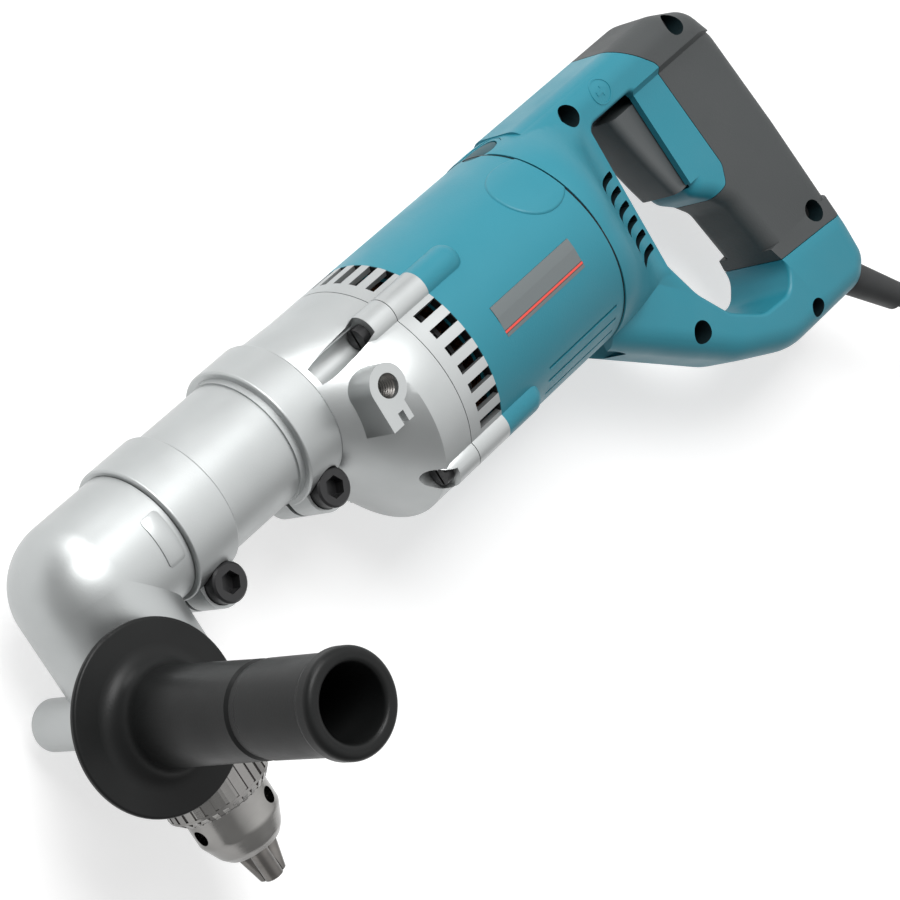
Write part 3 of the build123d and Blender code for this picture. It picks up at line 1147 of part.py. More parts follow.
# Two-blade mains plug with its sleeve, lying beside the coil.
plug_way = ways[-1]
plug_plane = Plane(origin=coil_end, x_dir=(-plug_way.Y, plug_way.X, 0), z_dir=plug_way)
sleeve_length = 22
plug_sections = [
    Pos(0, 0, sleeve_length - 4) * RectangleRounded(14, 12, 5.5),
    Pos(0, 0, sleeve_length + 10) * RectangleRounded(PLUG_WIDE, PLUG_THICK, 6),
    Pos(0, 0, sleeve_length + PLUG_LENGTH) * RectangleRounded(PLUG_WIDE, PLUG_THICK, 6)]
power_plug = loft(plug_sections, ruled=True)
power_plug += Pos(0, 0, sleeve_length / 2) * Cone(CORD_R + 1.2, CORD_R + 1.8, sleeve_length)
for side in (1, -1):
    blade = Pos(side * 6.35, 0, sleeve_length + PLUG_LENGTH + 7) * Box(1.5, 6.3, 20)
    power_plug += blade
save("power_plug", plug_plane * power_plug)
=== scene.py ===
from math import atan2, cos, hypot, pi, radians, sin, sqrt

import bmesh
import bpy
from mathutils import Matrix, Vector


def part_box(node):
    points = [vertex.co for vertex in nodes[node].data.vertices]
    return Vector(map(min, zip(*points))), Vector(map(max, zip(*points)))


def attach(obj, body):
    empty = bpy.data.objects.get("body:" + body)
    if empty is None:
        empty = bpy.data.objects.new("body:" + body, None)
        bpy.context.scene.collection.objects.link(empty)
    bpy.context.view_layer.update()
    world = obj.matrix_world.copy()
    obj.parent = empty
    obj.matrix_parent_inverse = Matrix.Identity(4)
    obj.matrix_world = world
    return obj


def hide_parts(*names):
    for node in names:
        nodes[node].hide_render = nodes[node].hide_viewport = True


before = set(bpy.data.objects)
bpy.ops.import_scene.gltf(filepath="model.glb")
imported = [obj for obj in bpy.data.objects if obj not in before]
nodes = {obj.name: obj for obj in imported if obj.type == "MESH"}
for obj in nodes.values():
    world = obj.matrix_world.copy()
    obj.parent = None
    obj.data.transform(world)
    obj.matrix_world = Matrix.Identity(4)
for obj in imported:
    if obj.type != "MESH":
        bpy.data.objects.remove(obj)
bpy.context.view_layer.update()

# The camera looks down on the head from its left, rolled so that the side grip leans to the
# right of the picture. A long lens keeps the D-handle only a little smaller than the head.
camera = bpy.data.objects.new("camera", bpy.data.cameras.new("camera"))
camera.data.lens = 124.38
camera.data.sensor_width = 36.0
camera.data.clip_end = 10.0
picture_right = Vector((0.602132, -0.497599, 0.624366))
picture_down = Vector((-0.565146, -0.818033, -0.106924))
view_way = Vector((0.563957, -0.288476, -0.773779))
camera.matrix_world = Matrix.Translation((-0.72676, 0.36712, 1.02303)) @ Matrix(
    (picture_right, -picture_down, -view_way)).transposed().to_4x4()
bpy.context.scene.collection.objects.link(camera)
bpy.context.scene.camera = camera


# The drill lies on a white sheet that runs on as the background. One large soft lamp stands on
# the side of the handle's top bar, with a weaker one low behind it, in a white room whose
# ceiling is brightest over the handle, which the metal mirrors.
def rays_seen(tree):
    """Light path of a node tree, and a socket that is 1 for the rays that the eye follows."""
    path = tree.nodes.new("ShaderNodeLightPath")
    seen = tree.nodes.new("ShaderNodeMath")
    seen.operation = "MAXIMUM"
    tree.links.new(path.outputs["Is Camera Ray"], seen.inputs[0])
    tree.links.new(path.outputs["Is Transmission Ray"], seen.inputs[1])
    return path, seen.outputs[0]


scene = bpy.context.scene
scene.view_settings.view_transform = "Standard"
floor_mesh = bmesh.new()
bmesh.ops.create_grid(floor_mesh, x_segments=1, y_segments=1, size=6.0)
floor = bpy.data.objects.new("floor", bpy.data.meshes.new("floor"))
floor_mesh.to_mesh(floor.data)
floor_mesh.free()
scene.collection.objects.link(floor)
white_sheet = bpy.data.materials.new("white_sheet")
white_sheet.use_nodes = True
sheet_shader = white_sheet.node_tree.nodes["Principled BSDF"]
sheet_shader.inputs["Base Color"].default_value = (0.62, 0.62, 0.62, 1)
sheet_shader.inputs["Roughness"].default_value = 0.9
sheet_shader.inputs["Specular IOR Level"].default_value = 0.1
sheet_shader.inputs["Emission Color"].default_value = (1, 1, 1, 1)
sheet_tree = white_sheet.node_tree
sheet_rays, sheet_seen = rays_seen(sheet_tree)
sheet_mirrored = sheet_tree.nodes.new("ShaderNodeMath")
sheet_mirrored.operation = "MAXIMUM"
sheet_tree.links.new(sheet_seen, sheet_mirrored.inputs[0])
sheet_tree.links.new(sheet_rays.outputs["Is Glossy Ray"], sheet_mirrored.inputs[1])
sheet_glow = sheet_tree.nodes.new("ShaderNodeMath")
sheet_glow.operation = "MULTIPLY"
sheet_glow.inputs[1].default_value = 0.58
sheet_tree.links.new(sheet_mirrored.outputs[0], sheet_glow.inputs[0])
sheet_tree.links.new(sheet_glow.outputs[0], sheet_shader.inputs["Emission Strength"])
floor.data.materials.append(white_sheet)

lamp_aim = Vector((0.0, 0.0, 0.05))
for name, spot, size, power in (("bar_lamp", (-0.1, 1.1, 1.5), 0.95, 30),
                                ("edge_lamp", (0.1, 1.5, 0.5), 0.5, 6)):
    lamp = bpy.data.objects.new(name, bpy.data.lights.new(name, "AREA"))
    lamp.data.size = size
    lamp.data.energy = power
    lamp.location = spot
    lamp.rotation_euler = (lamp_aim - Vector(spot)).to_track_quat("-Z", "Y").to_euler()
    scene.collection.objects.link(lamp)

room = bpy.data.worlds.new("white_room")
room.use_nodes = True
scene.world = room
room_tree = room.node_tree
room_light = room_tree.nodes["Background"]
room_light.inputs["Color"].default_value = (1, 1, 1, 1)
room_rays, room_seen = rays_seen(room_tree)
direct = room_tree.nodes.new("ShaderNodeMapRange")
direct.inputs["To Min"].default_value = 0.36
direct.inputs["To Max"].default_value = 1.0
room_tree.links.new(room_seen, direct.inputs["Value"])
room_way = room_tree.nodes.new("ShaderNodeTexCoord")
over_handle = room_tree.nodes.new("ShaderNodeVectorMath")
over_handle.operation = "DOT_PRODUCT"
over_handle.inputs[1].default_value = (0.5, 0.1, 0.86)
room_tree.links.new(room_way.outputs["Generated"], over_handle.inputs[0])
mirrored = room_tree.nodes.new("ShaderNodeMapRange")
mirrored.inputs["From Min"].default_value = 0.3
mirrored.inputs["From Max"].default_value = 1.0
mirrored.inputs["To Min"].default_value = 0.45
mirrored.inputs["To Max"].default_value = 1.6
room_tree.links.new(over_handle.outputs["Value"], mirrored.inputs["Value"])
strength = room_tree.nodes.new("ShaderNodeMapRange")
room_tree.links.new(room_rays.outputs["Is Glossy Ray"], strength.inputs["Value"])
room_tree.links.new(direct.outputs[0], strength.inputs["To Min"])
room_tree.links.new(mirrored.outputs[0], strength.inputs["To Max"])
room_tree.links.new(strength.outputs[0], room_light.inputs["Strength"])


# Angle head: a die casting of aluminium, blasted to a satin silver. It swivels in the sleeve
# and carries the bevel pair, and a cross tube whose two ends are threaded for the side grip.
def new_finish(name, color, roughness, metallic=0.0):
    """Material with a principled shader, and its Object coordinates ready for patterns."""
    finish = bpy.data.materials.new(name)
    finish.use_nodes = True
    tree = finish.node_tree
    shader = tree.nodes["Principled BSDF"]
    shader.inputs["Base Color"].default_value = (*color, 1)
    shader.inputs["Roughness"].default_value = roughness
    shader.inputs["Metallic"].default_value = metallic
    place = tree.nodes.new("ShaderNodeTexCoord")
    return finish, tree, shader, place.outputs["Object"]


def add_tone(tree, place, socket, scale, low, high, detail=4.0):
    """Slow change of a colour or a roughness over the surface."""
    noise = tree.nodes.new("ShaderNodeTexNoise")
    noise.inputs["Scale"].default_value = scale
    noise.inputs["Detail"].default_value = detail
    tree.links.new(place, noise.inputs["Vector"])
    ramp = tree.nodes.new("ShaderNodeValToRGB")
    ramp.color_ramp.elements[0].position = 0.3
    ramp.color_ramp.elements[1].position = 0.7
    ramp.color_ramp.elements[0].color = (*low, 1)
    ramp.color_ramp.elements[1].color = (*high, 1)
    tree.links.new(noise.outputs["Fac"], ramp.inputs["Fac"])
    tree.links.new(ramp.outputs["Color"], socket)


def add_grain(tree, shader, place, scale, strength, distance, detail=3.0):
    """Fine bump of a cast, moulded or ground surface."""
    noise = tree.nodes.new("ShaderNodeTexNoise")
    noise.inputs["Scale"].default_value = scale
    noise.inputs["Detail"].default_value = detail
    tree.links.new(place, noise.inputs["Vector"])
    bump = tree.nodes.new("ShaderNodeBump")
    bump.inputs["Strength"].default_value = strength
    bump.inputs["Distance"].default_value = distance
    tree.links.new(noise.outputs["Fac"], bump.inputs["Height"])
    tree.links.new(bump.outputs["Normal"], shader.inputs["Normal"])


def dress(finish, *names):
    """Give CAD nodes a finish in place of the plain one that they come with."""
    for node in names:
        nodes[node].data.materials.clear()
        nodes[node].data.materials.append(finish)


def settle(name, mesh, finish, body, crease=35):
    """Make a piece of a finished mesh, smooth but for its creases, and let it ride on a body."""
    bmesh.ops.remove_doubles(mesh, verts=mesh.verts[:], dist=0.000002)
    bmesh.ops.recalc_face_normals(mesh, faces=mesh.faces[:])
    for face in mesh.faces:
        face.smooth = True
    piece = bpy.data.objects.new(name, bpy.data.meshes.new(name))
    mesh.to_mesh(piece.data)
    mesh.free()
    piece.data.set_sharp_from_angle(angle=radians(crease))
    piece.data.materials.append(finish)
    scene.collection.objects.link(piece)
    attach(piece, body)
    return piece


def block_between(mesh, low, high, rounding=0.0):
    """Box between two corners, with its upright edges rounded, added to a mesh."""
    made = bmesh.ops.create_cube(mesh, size=1.0)
    middle = [(a + b) / 2 for a, b in zip(low, high)]
    bmesh.ops.scale(mesh, vec=[b - a for a, b in zip(low, high)], verts=made["verts"])
    bmesh.ops.translate(mesh, vec=middle, verts=made["verts"])
    if rounding:
        upright = set()
        for vert in made["verts"]:
            for edge in vert.link_edges:
                if abs(edge.verts[0].co.z - edge.verts[1].co.z) > (high[2] - low[2]) / 2:
                    upright.add(edge)
        bmesh.ops.bevel(mesh, geom=list(upright), offset=rounding, segments=5, affect="EDGES",
                        profile=0.5, material=-1)


def soften_top(mesh, level, offset, steps):
    """Round the edges of a mesh that lie wholly above a level."""
    rim = [edge for edge in mesh.edges if min(vert.co.z for vert in edge.verts) > level]
    bmesh.ops.bevel(mesh, geom=rim, offset=offset, segments=steps, affect="EDGES", profile=0.5,
                    material=-1)


def slice_across(mesh, spot, way, clear=False):
    """Cut the faces of a mesh along a plane, and clear what lies beyond it if asked to."""
    bmesh.ops.bisect_plane(mesh, geom=mesh.verts[:] + mesh.edges[:] + mesh.faces[:], plane_co=spot,
                           plane_no=way, clear_outer=clear)


def lay_on_barrel(mesh, slices, barrel_r, lean, along, barrel_y, barrel_z):
    """Slice a flat pad across, and bend it onto a barrel that runs along X."""
    for cut in slices:
        slice_across(mesh, (0, cut, 0), (0, 1, 0))
    for vert in mesh.verts:
        angle = lean + vert.co.y / barrel_r
        reach = barrel_r + vert.co.z
        vert.co = (along + vert.co.x, barrel_y + reach * sin(angle), barrel_z + reach * cos(angle))


def cut_thread(name, mouth, inward, turns, finish, body):
    """Thread of 1.5 mm pitch standing in a 10 mm hole, from its mouth inwards along Z."""
    pitch = 0.0015
    root_r = 0.00515
    crest_r = 0.0045
    half_ridge = 0.0006
    turn_steps = 32
    first_turn = 0.0016
    mesh = bmesh.new()
    section = ((root_r, 0, -half_ridge), (crest_r, 0, 0), (root_r, 0, half_ridge))
    ridge = mesh.faces.new([mesh.verts.new(corner) for corner in section])
    bmesh.ops.spin(mesh, geom=[ridge], cent=(0, 0, 0), axis=(0, 0, 1), angle=2 * pi * turns,
                   dvec=(0, 0, inward * pitch / turn_steps), steps=turn_steps * turns, use_merge=False)
    bmesh.ops.translate(mesh, verts=mesh.verts[:], vec=(mouth[0], mouth[1], mouth[2] + inward * first_turn))
    settle(name, mesh, finish, body, 30)


cast_silver, tree, shader, place = new_finish("cast_silver", (0.42, 0.435, 0.435), 0.4, 0.85)
add_tone(tree, place, shader.inputs["Base Color"], 26, (0.4, 0.415, 0.415), (0.44, 0.455, 0.455))
add_tone(tree, place, shader.inputs["Roughness"], 70, (0.37,) * 3, (0.44,) * 3)
add_grain(tree, shader, place, 1300, 0.08, 0.0003)
dress(cast_silver, "angle_head")

elbow = Vector((-0.19106, 0.06342, 0.04833))
neck_r = 0.028
pad_half = Vector((0.00425, 0.01075, 0.0008))
pad_sunk = 0.00035
pad_back = 0.0237
pad_mesh = bmesh.new()
block_between(pad_mesh, -pad_half, pad_half, 0.0018)
soften_top(pad_mesh, 0, 0.0003, 2)
lay_on_barrel(pad_mesh, [0.001 * row for row in range(-10, 11)], neck_r - pad_sunk, radians(3),
              elbow.x + pad_back, elbow.y, elbow.z)
settle("head_pad", pad_mesh, cast_silver, "head")
head_thread_mouth = (-0.21506, 0.01902, 0.01413)
cut_thread("head_thread", head_thread_mouth, 1, 9, cast_silver, "head")

# Bevel pair, spindle and their bearings: hardened steel, cut and ground, pressed into the head.
# The threaded ring at the mouth of the head holds the bearings.
ground_steel, tree, shader, place = new_finish("ground_steel", (0.5, 0.5, 0.51), 0.28, 1.0)
add_tone(tree, place, shader.inputs["Base Color"], 90, (0.44, 0.44, 0.45), (0.54, 0.54, 0.55))
add_tone(tree, place, shader.inputs["Roughness"], 240, (0.2,) * 3, (0.36,) * 3)
add_grain(tree, shader, place, 2200, 0.1, 0.0001)
dress(ground_steel, "bevel_pinion", "pinion_bearings", "bevel_gear", "spindle_bearings",
      "bearing_retainer")


# Key chuck: body and toothed sleeve turned from steel, with the marks of the tool left round
# them, three ground jaws, and the split nut that the sleeve drives them by. A black ring under
# the sleeve's key teeth is painted shade, which darkens the gaps between the teeth.
def add_turning(tree, shader, place, axis_x, axis_z, scale, strength, distance):
    """Fine rings left by the lathe, round an axis that runs along Y."""
    offset = tree.nodes.new("ShaderNodeVectorMath")
    offset.operation = "SUBTRACT"
    offset.inputs[1].default_value = (axis_x, 0, axis_z)
    tree.links.new(place, offset.inputs[0])
    flat = tree.nodes.new("ShaderNodeVectorMath")
    flat.operation = "MULTIPLY"
    flat.inputs[1].default_value = (1, 0, 1)
    tree.links.new(offset.outputs[0], flat.inputs[0])
    reach = tree.nodes.new("ShaderNodeVectorMath")
    reach.operation = "LENGTH"
    tree.links.new(flat.outputs[0], reach.inputs[0])
    height = tree.nodes.new("ShaderNodeSeparateXYZ")
    tree.links.new(place, height.inputs[0])
    section = tree.nodes.new("ShaderNodeCombineXYZ")
    tree.links.new(reach.outputs["Value"], section.inputs["X"])
    tree.links.new(height.outputs["Y"], section.inputs["Y"])
    add_grain(tree, shader, section.outputs[0], scale, strength, distance, 2.0)


def turn_ring(corners, centre, axis, steps):
    """Mesh of a closed ring, from the corners of its section turned round an axis."""
    mesh = bmesh.new()
    section = [mesh.verts.new(corner) for corner in corners]
    for start, end in zip(section, section[1:] + section[:1]):
        mesh.edges.new((start, end))
    bmesh.ops.spin(mesh, geom=mesh.verts[:] + mesh.edges[:], cent=centre, axis=axis, angle=2 * pi,
                   steps=steps, use_merge=True)
    return mesh


turned_steel, tree, shader, place = new_finish("turned_steel", (0.24, 0.235, 0.225), 0.18, 1.0)
add_tone(tree, place, shader.inputs["Base Color"], 60, (0.21, 0.205, 0.2), (0.27, 0.265, 0.255))
add_tone(tree, place, shader.inputs["Roughness"], 300, (0.13,) * 3, (0.22,) * 3)
add_turning(tree, shader, place, elbow.x, elbow.z, 2600, 0.3, 0.0002)
dress(turned_steel, "chuck_spindle", "chuck_body", "key_sleeve", "chuck_nut")
jaw_steel, tree, shader, place = new_finish("jaw_steel", (0.16, 0.15, 0.145), 0.28, 1.0)
add_tone(tree, place, shader.inputs["Base Color"], 160, (0.13, 0.125, 0.12), (0.19, 0.18, 0.17))
add_grain(tree, shader, place, 2200, 0.12, 0.0001)
dress(jaw_steel, "chuck_jaw_1", "chuck_jaw_2", "chuck_jaw_3")
black_steel, tree, shader, place = new_finish("blackened_steel", (0.022, 0.022, 0.023), 0.36, 0.5)
add_tone(tree, place, shader.inputs["Roughness"], 350, (0.28,) * 3, (0.44,) * 3)
add_grain(tree, shader, place, 1800, 0.15, 0.0002)
# Painted shade: a black ring under the key teeth, so that the gaps between them read as dark.
shade_ring_corners = []
for reach, along in ((0.018, -0.035), (0.01855, -0.035), (0.0201, -0.0321), (0.0195, -0.0321)):
    shade_ring_corners.append((elbow.x + reach, along, elbow.z))
shade_ring_mesh = turn_ring(shade_ring_corners, elbow, (0, 1, 0), 96)
settle("key_teeth_shade_ring", shade_ring_mesh, black_steel, "key_ring")

# Side grip: a handle with a round hand guard, hollow at its end, moulded in black plastic on a
# steel stud, which is screwed into the cross tube of the head.
black_moulding, tree, shader, place = new_finish("black_moulding", (0.009, 0.0095, 0.0095), 0.38)
shader.inputs["Specular IOR Level"].default_value = 0.16
add_tone(tree, place, shader.inputs["Base Color"], 30, (0.007, 0.0075, 0.0075),
         (0.011, 0.0115, 0.0115))
add_tone(tree, place, shader.inputs["Roughness"], 45, (0.3,) * 3, (0.42,) * 3)
add_grain(tree, shader, place, 1300, 0.2, 0.0002)
dress(black_moulding, "side_grip")
dress(ground_steel, "side_grip_stud")

# Coupling sleeve: a split aluminium casting that clamps the neck of the head to the nose of
# the gear case. Its two cap screws are blackened steel.
dress(cast_silver, "coupling_sleeve")
dress(black_steel, "clamp_bolts")


# Gear case and its rear half: aluminium castings with four screw lobes, a ring boss with a
# thread for the grip, and air slots in the rear half, joined by four dark slotted screws.
def recut(name, node, cutter_mesh, finish, body):
    """Copy of a CAD casting or moulding with further cuts made in it, which stands for its node."""
    shell = bmesh.new()
    shell.from_mesh(nodes[node].data)
    piece = settle(name, shell, finish, body, 30)
    # Normals stored with the CAD mesh would not fit the cut faces.
    if "custom_normal" in piece.data.attributes:
        piece.data.attributes.remove(piece.data.attributes["custom_normal"])
    bmesh.ops.recalc_face_normals(cutter_mesh, faces=cutter_mesh.faces[:])
    cutter = bpy.data.objects.new("cutter", bpy.data.meshes.new("cutter"))
    cutter_mesh.to_mesh(cutter.data)
    cutter_mesh.free()
    scene.collection.objects.link(cutter)
    cut = piece.modifiers.new("cut", "BOOLEAN")
    cut.operation = "DIFFERENCE"
    cut.solver = "EXACT"
    cut.object = cutter
    ready = piece.evaluated_get(bpy.context.evaluated_depsgraph_get())
    piece.data = bpy.data.meshes.new_from_object(ready)
    piece.modifiers.clear()
    bpy.data.objects.remove(cutter)
    # The cut leaves needle faces along its edges, which are dissolved.
    shell = bmesh.new()
    shell.from_mesh(piece.data)
    bmesh.ops.dissolve_degenerate(shell, edges=shell.edges[:], dist=0.000002)
    bmesh.ops.triangulate(shell, faces=shell.faces[:])
    shell.to_mesh(piece.data)
    shell.free()
    piece.data.set_sharp_from_angle(angle=radians(30))
    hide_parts(node)
    return piece


motor_y = 0.04292
barrel_r = 0.0483
slot_wall_r = 0.0459
bore_length = 0.015
bore_middle = Matrix.Translation((-0.02, motor_y, elbow.z))
ring_bore = bmesh.new()
bmesh.ops.create_cone(ring_bore, cap_ends=True, segments=160, radius1=slot_wall_r, radius2=slot_wall_r,
                      depth=bore_length, matrix=bore_middle @ Matrix.Rotation(pi / 2, 4, "Y"))
recut("fan_ring", "gear_housing_cover", ring_bore, cast_silver, "tool")
dress(black_steel, "housing_screws")
lobe_reach = 0.0455
screw_seat = -0.04666
scoop_length = 0.024
scoop_half = 0.0056
scoop_height = 0.02
scoops = bmesh.new()
for lobe_angle in (45, 135, 225, 315):
    done = len(scoops.verts)
    block_between(scoops, (screw_seat - scoop_length, -scoop_half, 0),
                  (screw_seat, scoop_half, scoop_height))
    scoop = scoops.verts[done:]
    lean = radians(lobe_angle)
    bmesh.ops.rotate(scoops, verts=scoop, cent=(0, 0, 0), matrix=Matrix.Rotation(-lean, 3, "X"))
    bmesh.ops.translate(scoops, verts=scoop,
                        vec=(0, motor_y + lobe_reach * sin(lean), elbow.z + lobe_reach * cos(lean)))
recut("gear_case", "gear_housing", scoops, cast_silver, "tool")
case_thread_mouth = (-0.06116, 0.05812, 0.09733)
cut_thread("case_thread", case_thread_mouth, -1, 9, jaw_steel, "tool")
# Painted shade: a thin black ring over the front face of the motor housing, so that the teal seen through
# the air slots of the rear half reads as dark.
fan_slot_shade_front = -0.01452
fan_slot_shade_back = -0.01412
fan_slot_shade_inner = elbow.z + 0.044
fan_slot_shade_outer = elbow.z + 0.0481
fan_slot_shade_corners = ((fan_slot_shade_front, motor_y, fan_slot_shade_inner), (fan_slot_shade_front, motor_y, fan_slot_shade_outer),
                (fan_slot_shade_back, motor_y, fan_slot_shade_outer), (fan_slot_shade_back, motor_y, fan_slot_shade_inner))
fan_slot_shade_mesh = turn_ring(fan_slot_shade_corners, (0, motor_y, elbow.z), (1, 0, 0), 128)
settle("fan_slot_shade_ring", fan_slot_shade_mesh, black_moulding, "tool")

# Gear train: two stages of hobbed steel wheels on ground shafts, which run in bronze bushes and
# a ball bearing inside the gear case.
dress(ground_steel, "intermediate_wheel", "intermediate_shaft", "output_gear", "output_spindle",
      "output_bearing")
oiled_bronze, tree, shader, place = new_finish("oiled_bronze", (0.42, 0.26, 0.12), 0.38, 0.95)
add_tone(tree, place, shader.inputs["Base Color"], 200, (0.36, 0.21, 0.1), (0.46, 0.29, 0.14))
add_grain(tree, shader, place, 1500, 0.2, 0.0002)
dress(oiled_bronze, "intermediate_bushes", "output_bush")


# Motor housing: glass-filled teal plastic with the fine grain of a spark-eroded mould. A low
# oval land stands on it where the handle meets it.
def raise_face(mesh, face, height):
    """Make a prism of a face that lies flat across Z."""
    grown = bmesh.ops.extrude_face_region(mesh, geom=[face])
    lifted = [part for part in grown["geom"] if isinstance(part, bmesh.types.BMVert)]
    bmesh.ops.translate(mesh, verts=lifted, vec=(0, 0, height))


def low_disc(radius, height, segments, rounding, steps):
    """Mesh of a disc that stands on Z = 0, with the edge of its top rounded."""
    mesh = bmesh.new()
    bmesh.ops.create_circle(mesh, cap_ends=True, segments=segments, radius=radius)
    mesh.faces.ensure_lookup_table()
    raise_face(mesh, mesh.faces[0], height)
    soften_top(mesh, height / 2, rounding, steps)
    return mesh


teal_moulding, tree, shader, place = new_finish("teal_moulding", (0.02, 0.205, 0.27), 0.38)
shader.inputs["Specular IOR Level"].default_value = 0.4
add_tone(tree, place, shader.inputs["Base Color"], 14, (0.018, 0.197, 0.26), (0.022, 0.213, 0.28))
add_tone(tree, place, shader.inputs["Roughness"], 50, (0.37,) * 3, (0.48,) * 3)
add_grain(tree, shader, place, 1400, 0.16, 0.0003)
dress(teal_moulding, "motor_housing")

seam_x = 0.07084
land_r = 0.0165
land_sunk = 0.00075
land_back = 0.0103
land_end = 0.0098
land_mesh = low_disc(land_r, 0.0015, 72, 0.0014, 5)
slice_across(land_mesh, (land_end, 0, 0), (1, 0, 0), True)
bmesh.ops.holes_fill(land_mesh, edges=[edge for edge in land_mesh.edges if edge.is_boundary])
lay_on_barrel(land_mesh, [0.001 * row for row in range(-16, 17)], barrel_r - land_sunk, radians(46),
              seam_x - land_back, motor_y, elbow.z)
settle("housing_land", land_mesh, teal_moulding, "tool")

# Name plate: a foil plate, brushed lengthwise and left bare but for a red line and a grey
# strip along its lower edge.
plate_foil, tree, shader, place = new_finish("plate_foil", (0.13, 0.148, 0.152), 0.42, 0.2)
brushing = tree.nodes.new("ShaderNodeMapping")
brushing.inputs["Scale"].default_value = (12, 900, 900)
tree.links.new(place, brushing.inputs["Vector"])
add_grain(tree, shader, brushing.outputs[0], 1.0, 0.12, 0.0002, 2.0)
plate_low, plate_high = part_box("name_plate")
height = tree.nodes.new("ShaderNodeSeparateXYZ")
tree.links.new(place, height.inputs[0])
share = tree.nodes.new("ShaderNodeMapRange")
share.inputs["From Min"].default_value = plate_low[1]
share.inputs["From Max"].default_value = plate_high[1]
tree.links.new(height.outputs["Y"], share.inputs["Value"])
bands = tree.nodes.new("ShaderNodeValToRGB")
bands.color_ramp.interpolation = "CONSTANT"
bands.color_ramp.elements[0].color = (0.12, 0.135, 0.14, 1)
bands.color_ramp.elements[1].position = 0.1
bands.color_ramp.elements[1].color = (0.03, 0.03, 0.03, 1)
for position, color in ((0.125, (0.72, 0.07, 0.05, 1)), (0.195, (0.03, 0.03, 0.03, 1)),
                        (0.215, (0.13, 0.148, 0.152, 1))):
    band = bands.color_ramp.elements.new(position)
    band.color = color
tree.links.new(share.outputs[0], bands.inputs["Fac"])
tree.links.new(bands.outputs["Color"], shader.inputs["Base Color"])
dress(plate_foil, "name_plate")

# Field and armature: varnished copper windings on stacks of sheet steel, a copper commutator,
# a ground shaft in two ball bearings, and a black moulded fan behind the air slots.
copper_wire, tree, shader, place = new_finish("copper_wire", (0.5, 0.19, 0.08), 0.35, 0.9)
add_tone(tree, place, shader.inputs["Base Color"], 120, (0.42, 0.15, 0.06), (0.56, 0.23, 0.1))
add_grain(tree, shader, place, 500, 0.4, 0.0006)
dress(copper_wire, "field_coils", "armature_windings", "commutator")
sheet_stack, tree, shader, place = new_finish("sheet_stack", (0.24, 0.25, 0.26), 0.42, 0.9)
stacking = tree.nodes.new("ShaderNodeMapping")
stacking.inputs["Scale"].default_value = (1800, 20, 20)
tree.links.new(place, stacking.inputs["Vector"])
add_grain(tree, shader, stacking.outputs[0], 1.0, 0.4, 0.0003, 1.0)
dress(sheet_stack, "field_core", "armature_core")
dress(ground_steel, "armature_shaft", "armature_bearings")
fan_moulding, tree, shader, place = new_finish("fan_moulding", (0.014, 0.014, 0.015), 0.55)
add_tone(tree, place, shader.inputs["Roughness"], 60, (0.48,) * 3, (0.62,) * 3)
add_grain(tree, shader, place, 900, 0.2, 0.0002)
dress(fan_moulding, "fan")

# Brush gear: pressed carbon in brass holders, with coiled springs behind, and moulded caps that
# screw in flush with the barrel, each with a teal rim round it.
folded_brass, tree, shader, place = new_finish("folded_brass", (0.5, 0.34, 0.13), 0.35, 0.95)
add_tone(tree, place, shader.inputs["Base Color"], 150, (0.44, 0.29, 0.11), (0.54, 0.38, 0.15))
add_grain(tree, shader, place, 900, 0.2, 0.0002)
dress(folded_brass, "brush_holders")
pressed_carbon, tree, shader, place = new_finish("pressed_carbon", (0.03, 0.03, 0.03), 0.6)
add_tone(tree, place, shader.inputs["Base Color"], 400, (0.022, 0.022, 0.022), (0.04, 0.04, 0.04))
add_grain(tree, shader, place, 900, 0.3, 0.0002)
dress(pressed_carbon, "carbon_brushes")
dress(ground_steel, "brush_springs")
dark_teal, tree, shader, place = new_finish("dark_teal_moulding", (0.012, 0.06, 0.075), 0.5)
shader.inputs["Specular IOR Level"].default_value = 0.2
add_tone(tree, place, shader.inputs["Base Color"], 40, (0.01, 0.052, 0.066), (0.014, 0.066, 0.082))
add_grain(tree, shader, place, 1400, 0.18, 0.0003)
dress(dark_teal, "brush_caps")
brush_x = 0.0758
cap_r = 0.0077
cap_height = 0.0024
cap_sunk = 0.0026
rim_inner = 0.00825
rim_outer = 0.0101
rim_foot = -0.0024
rim_top = -0.00005
for side, label in ((1, "upper"), (-1, "lower")):
    cap_mesh = low_disc(cap_r, cap_height, 64, 0.0005, 3)
    for cut_x in (-0.0008, 0.0008):
        slice_across(cap_mesh, (cut_x, 0, 0), (1, 0, 0))
    slices = [0.0011 * row for row in range(-7, 8)]
    lay_on_barrel(cap_mesh, slices, barrel_r - cap_sunk, side * pi / 2, brush_x, motor_y, elbow.z)
    settle("brush_cap_" + label, cap_mesh, dark_teal, "tool")
    rim_corners = ((rim_inner, 0, rim_foot), (rim_outer, 0, rim_foot), (rim_outer, 0, rim_top),
                   (rim_inner, 0, rim_top))
    rim_mesh = turn_ring(rim_corners, (0, 0, 0), (0, 0, 1), 64)
    lay_on_barrel(rim_mesh, [], barrel_r, side * pi / 2, brush_x, motor_y, elbow.z)
    settle("brush_tower_rim_" + label, rim_mesh, teal_moulding, "tool")


# D-handle: two teal halves moulded with screw wells and air slots, joined by dark screws. The
# walls of the wells and slots are painted shade, dark plates behind the slots are painted shade,
# and a black ring in the seam with the motor housing is a painted shadow line. A ring with an
# arrow in it is moulded on the flat of the top bar, over the reversing lever.
def sink_wells(mesh, spots, side):
    """Add a round cutter to a mesh for each screw well, outwards from the floor of the wells."""
    depth = 0.02
    for x, y, reach in spots:
        bmesh.ops.create_cone(mesh, cap_ends=True, segments=48, radius1=reach, radius2=reach, depth=depth,
                              matrix=Matrix.Translation((x, y, side * (well_floor + depth / 2))))


def in_well(spot, spots):
    """True for a spot on the wall or the floor of a screw well."""
    slack = 0.00005
    return any(hypot(spot.x - x, spot.y - y) < reach + slack for x, y, reach in spots)


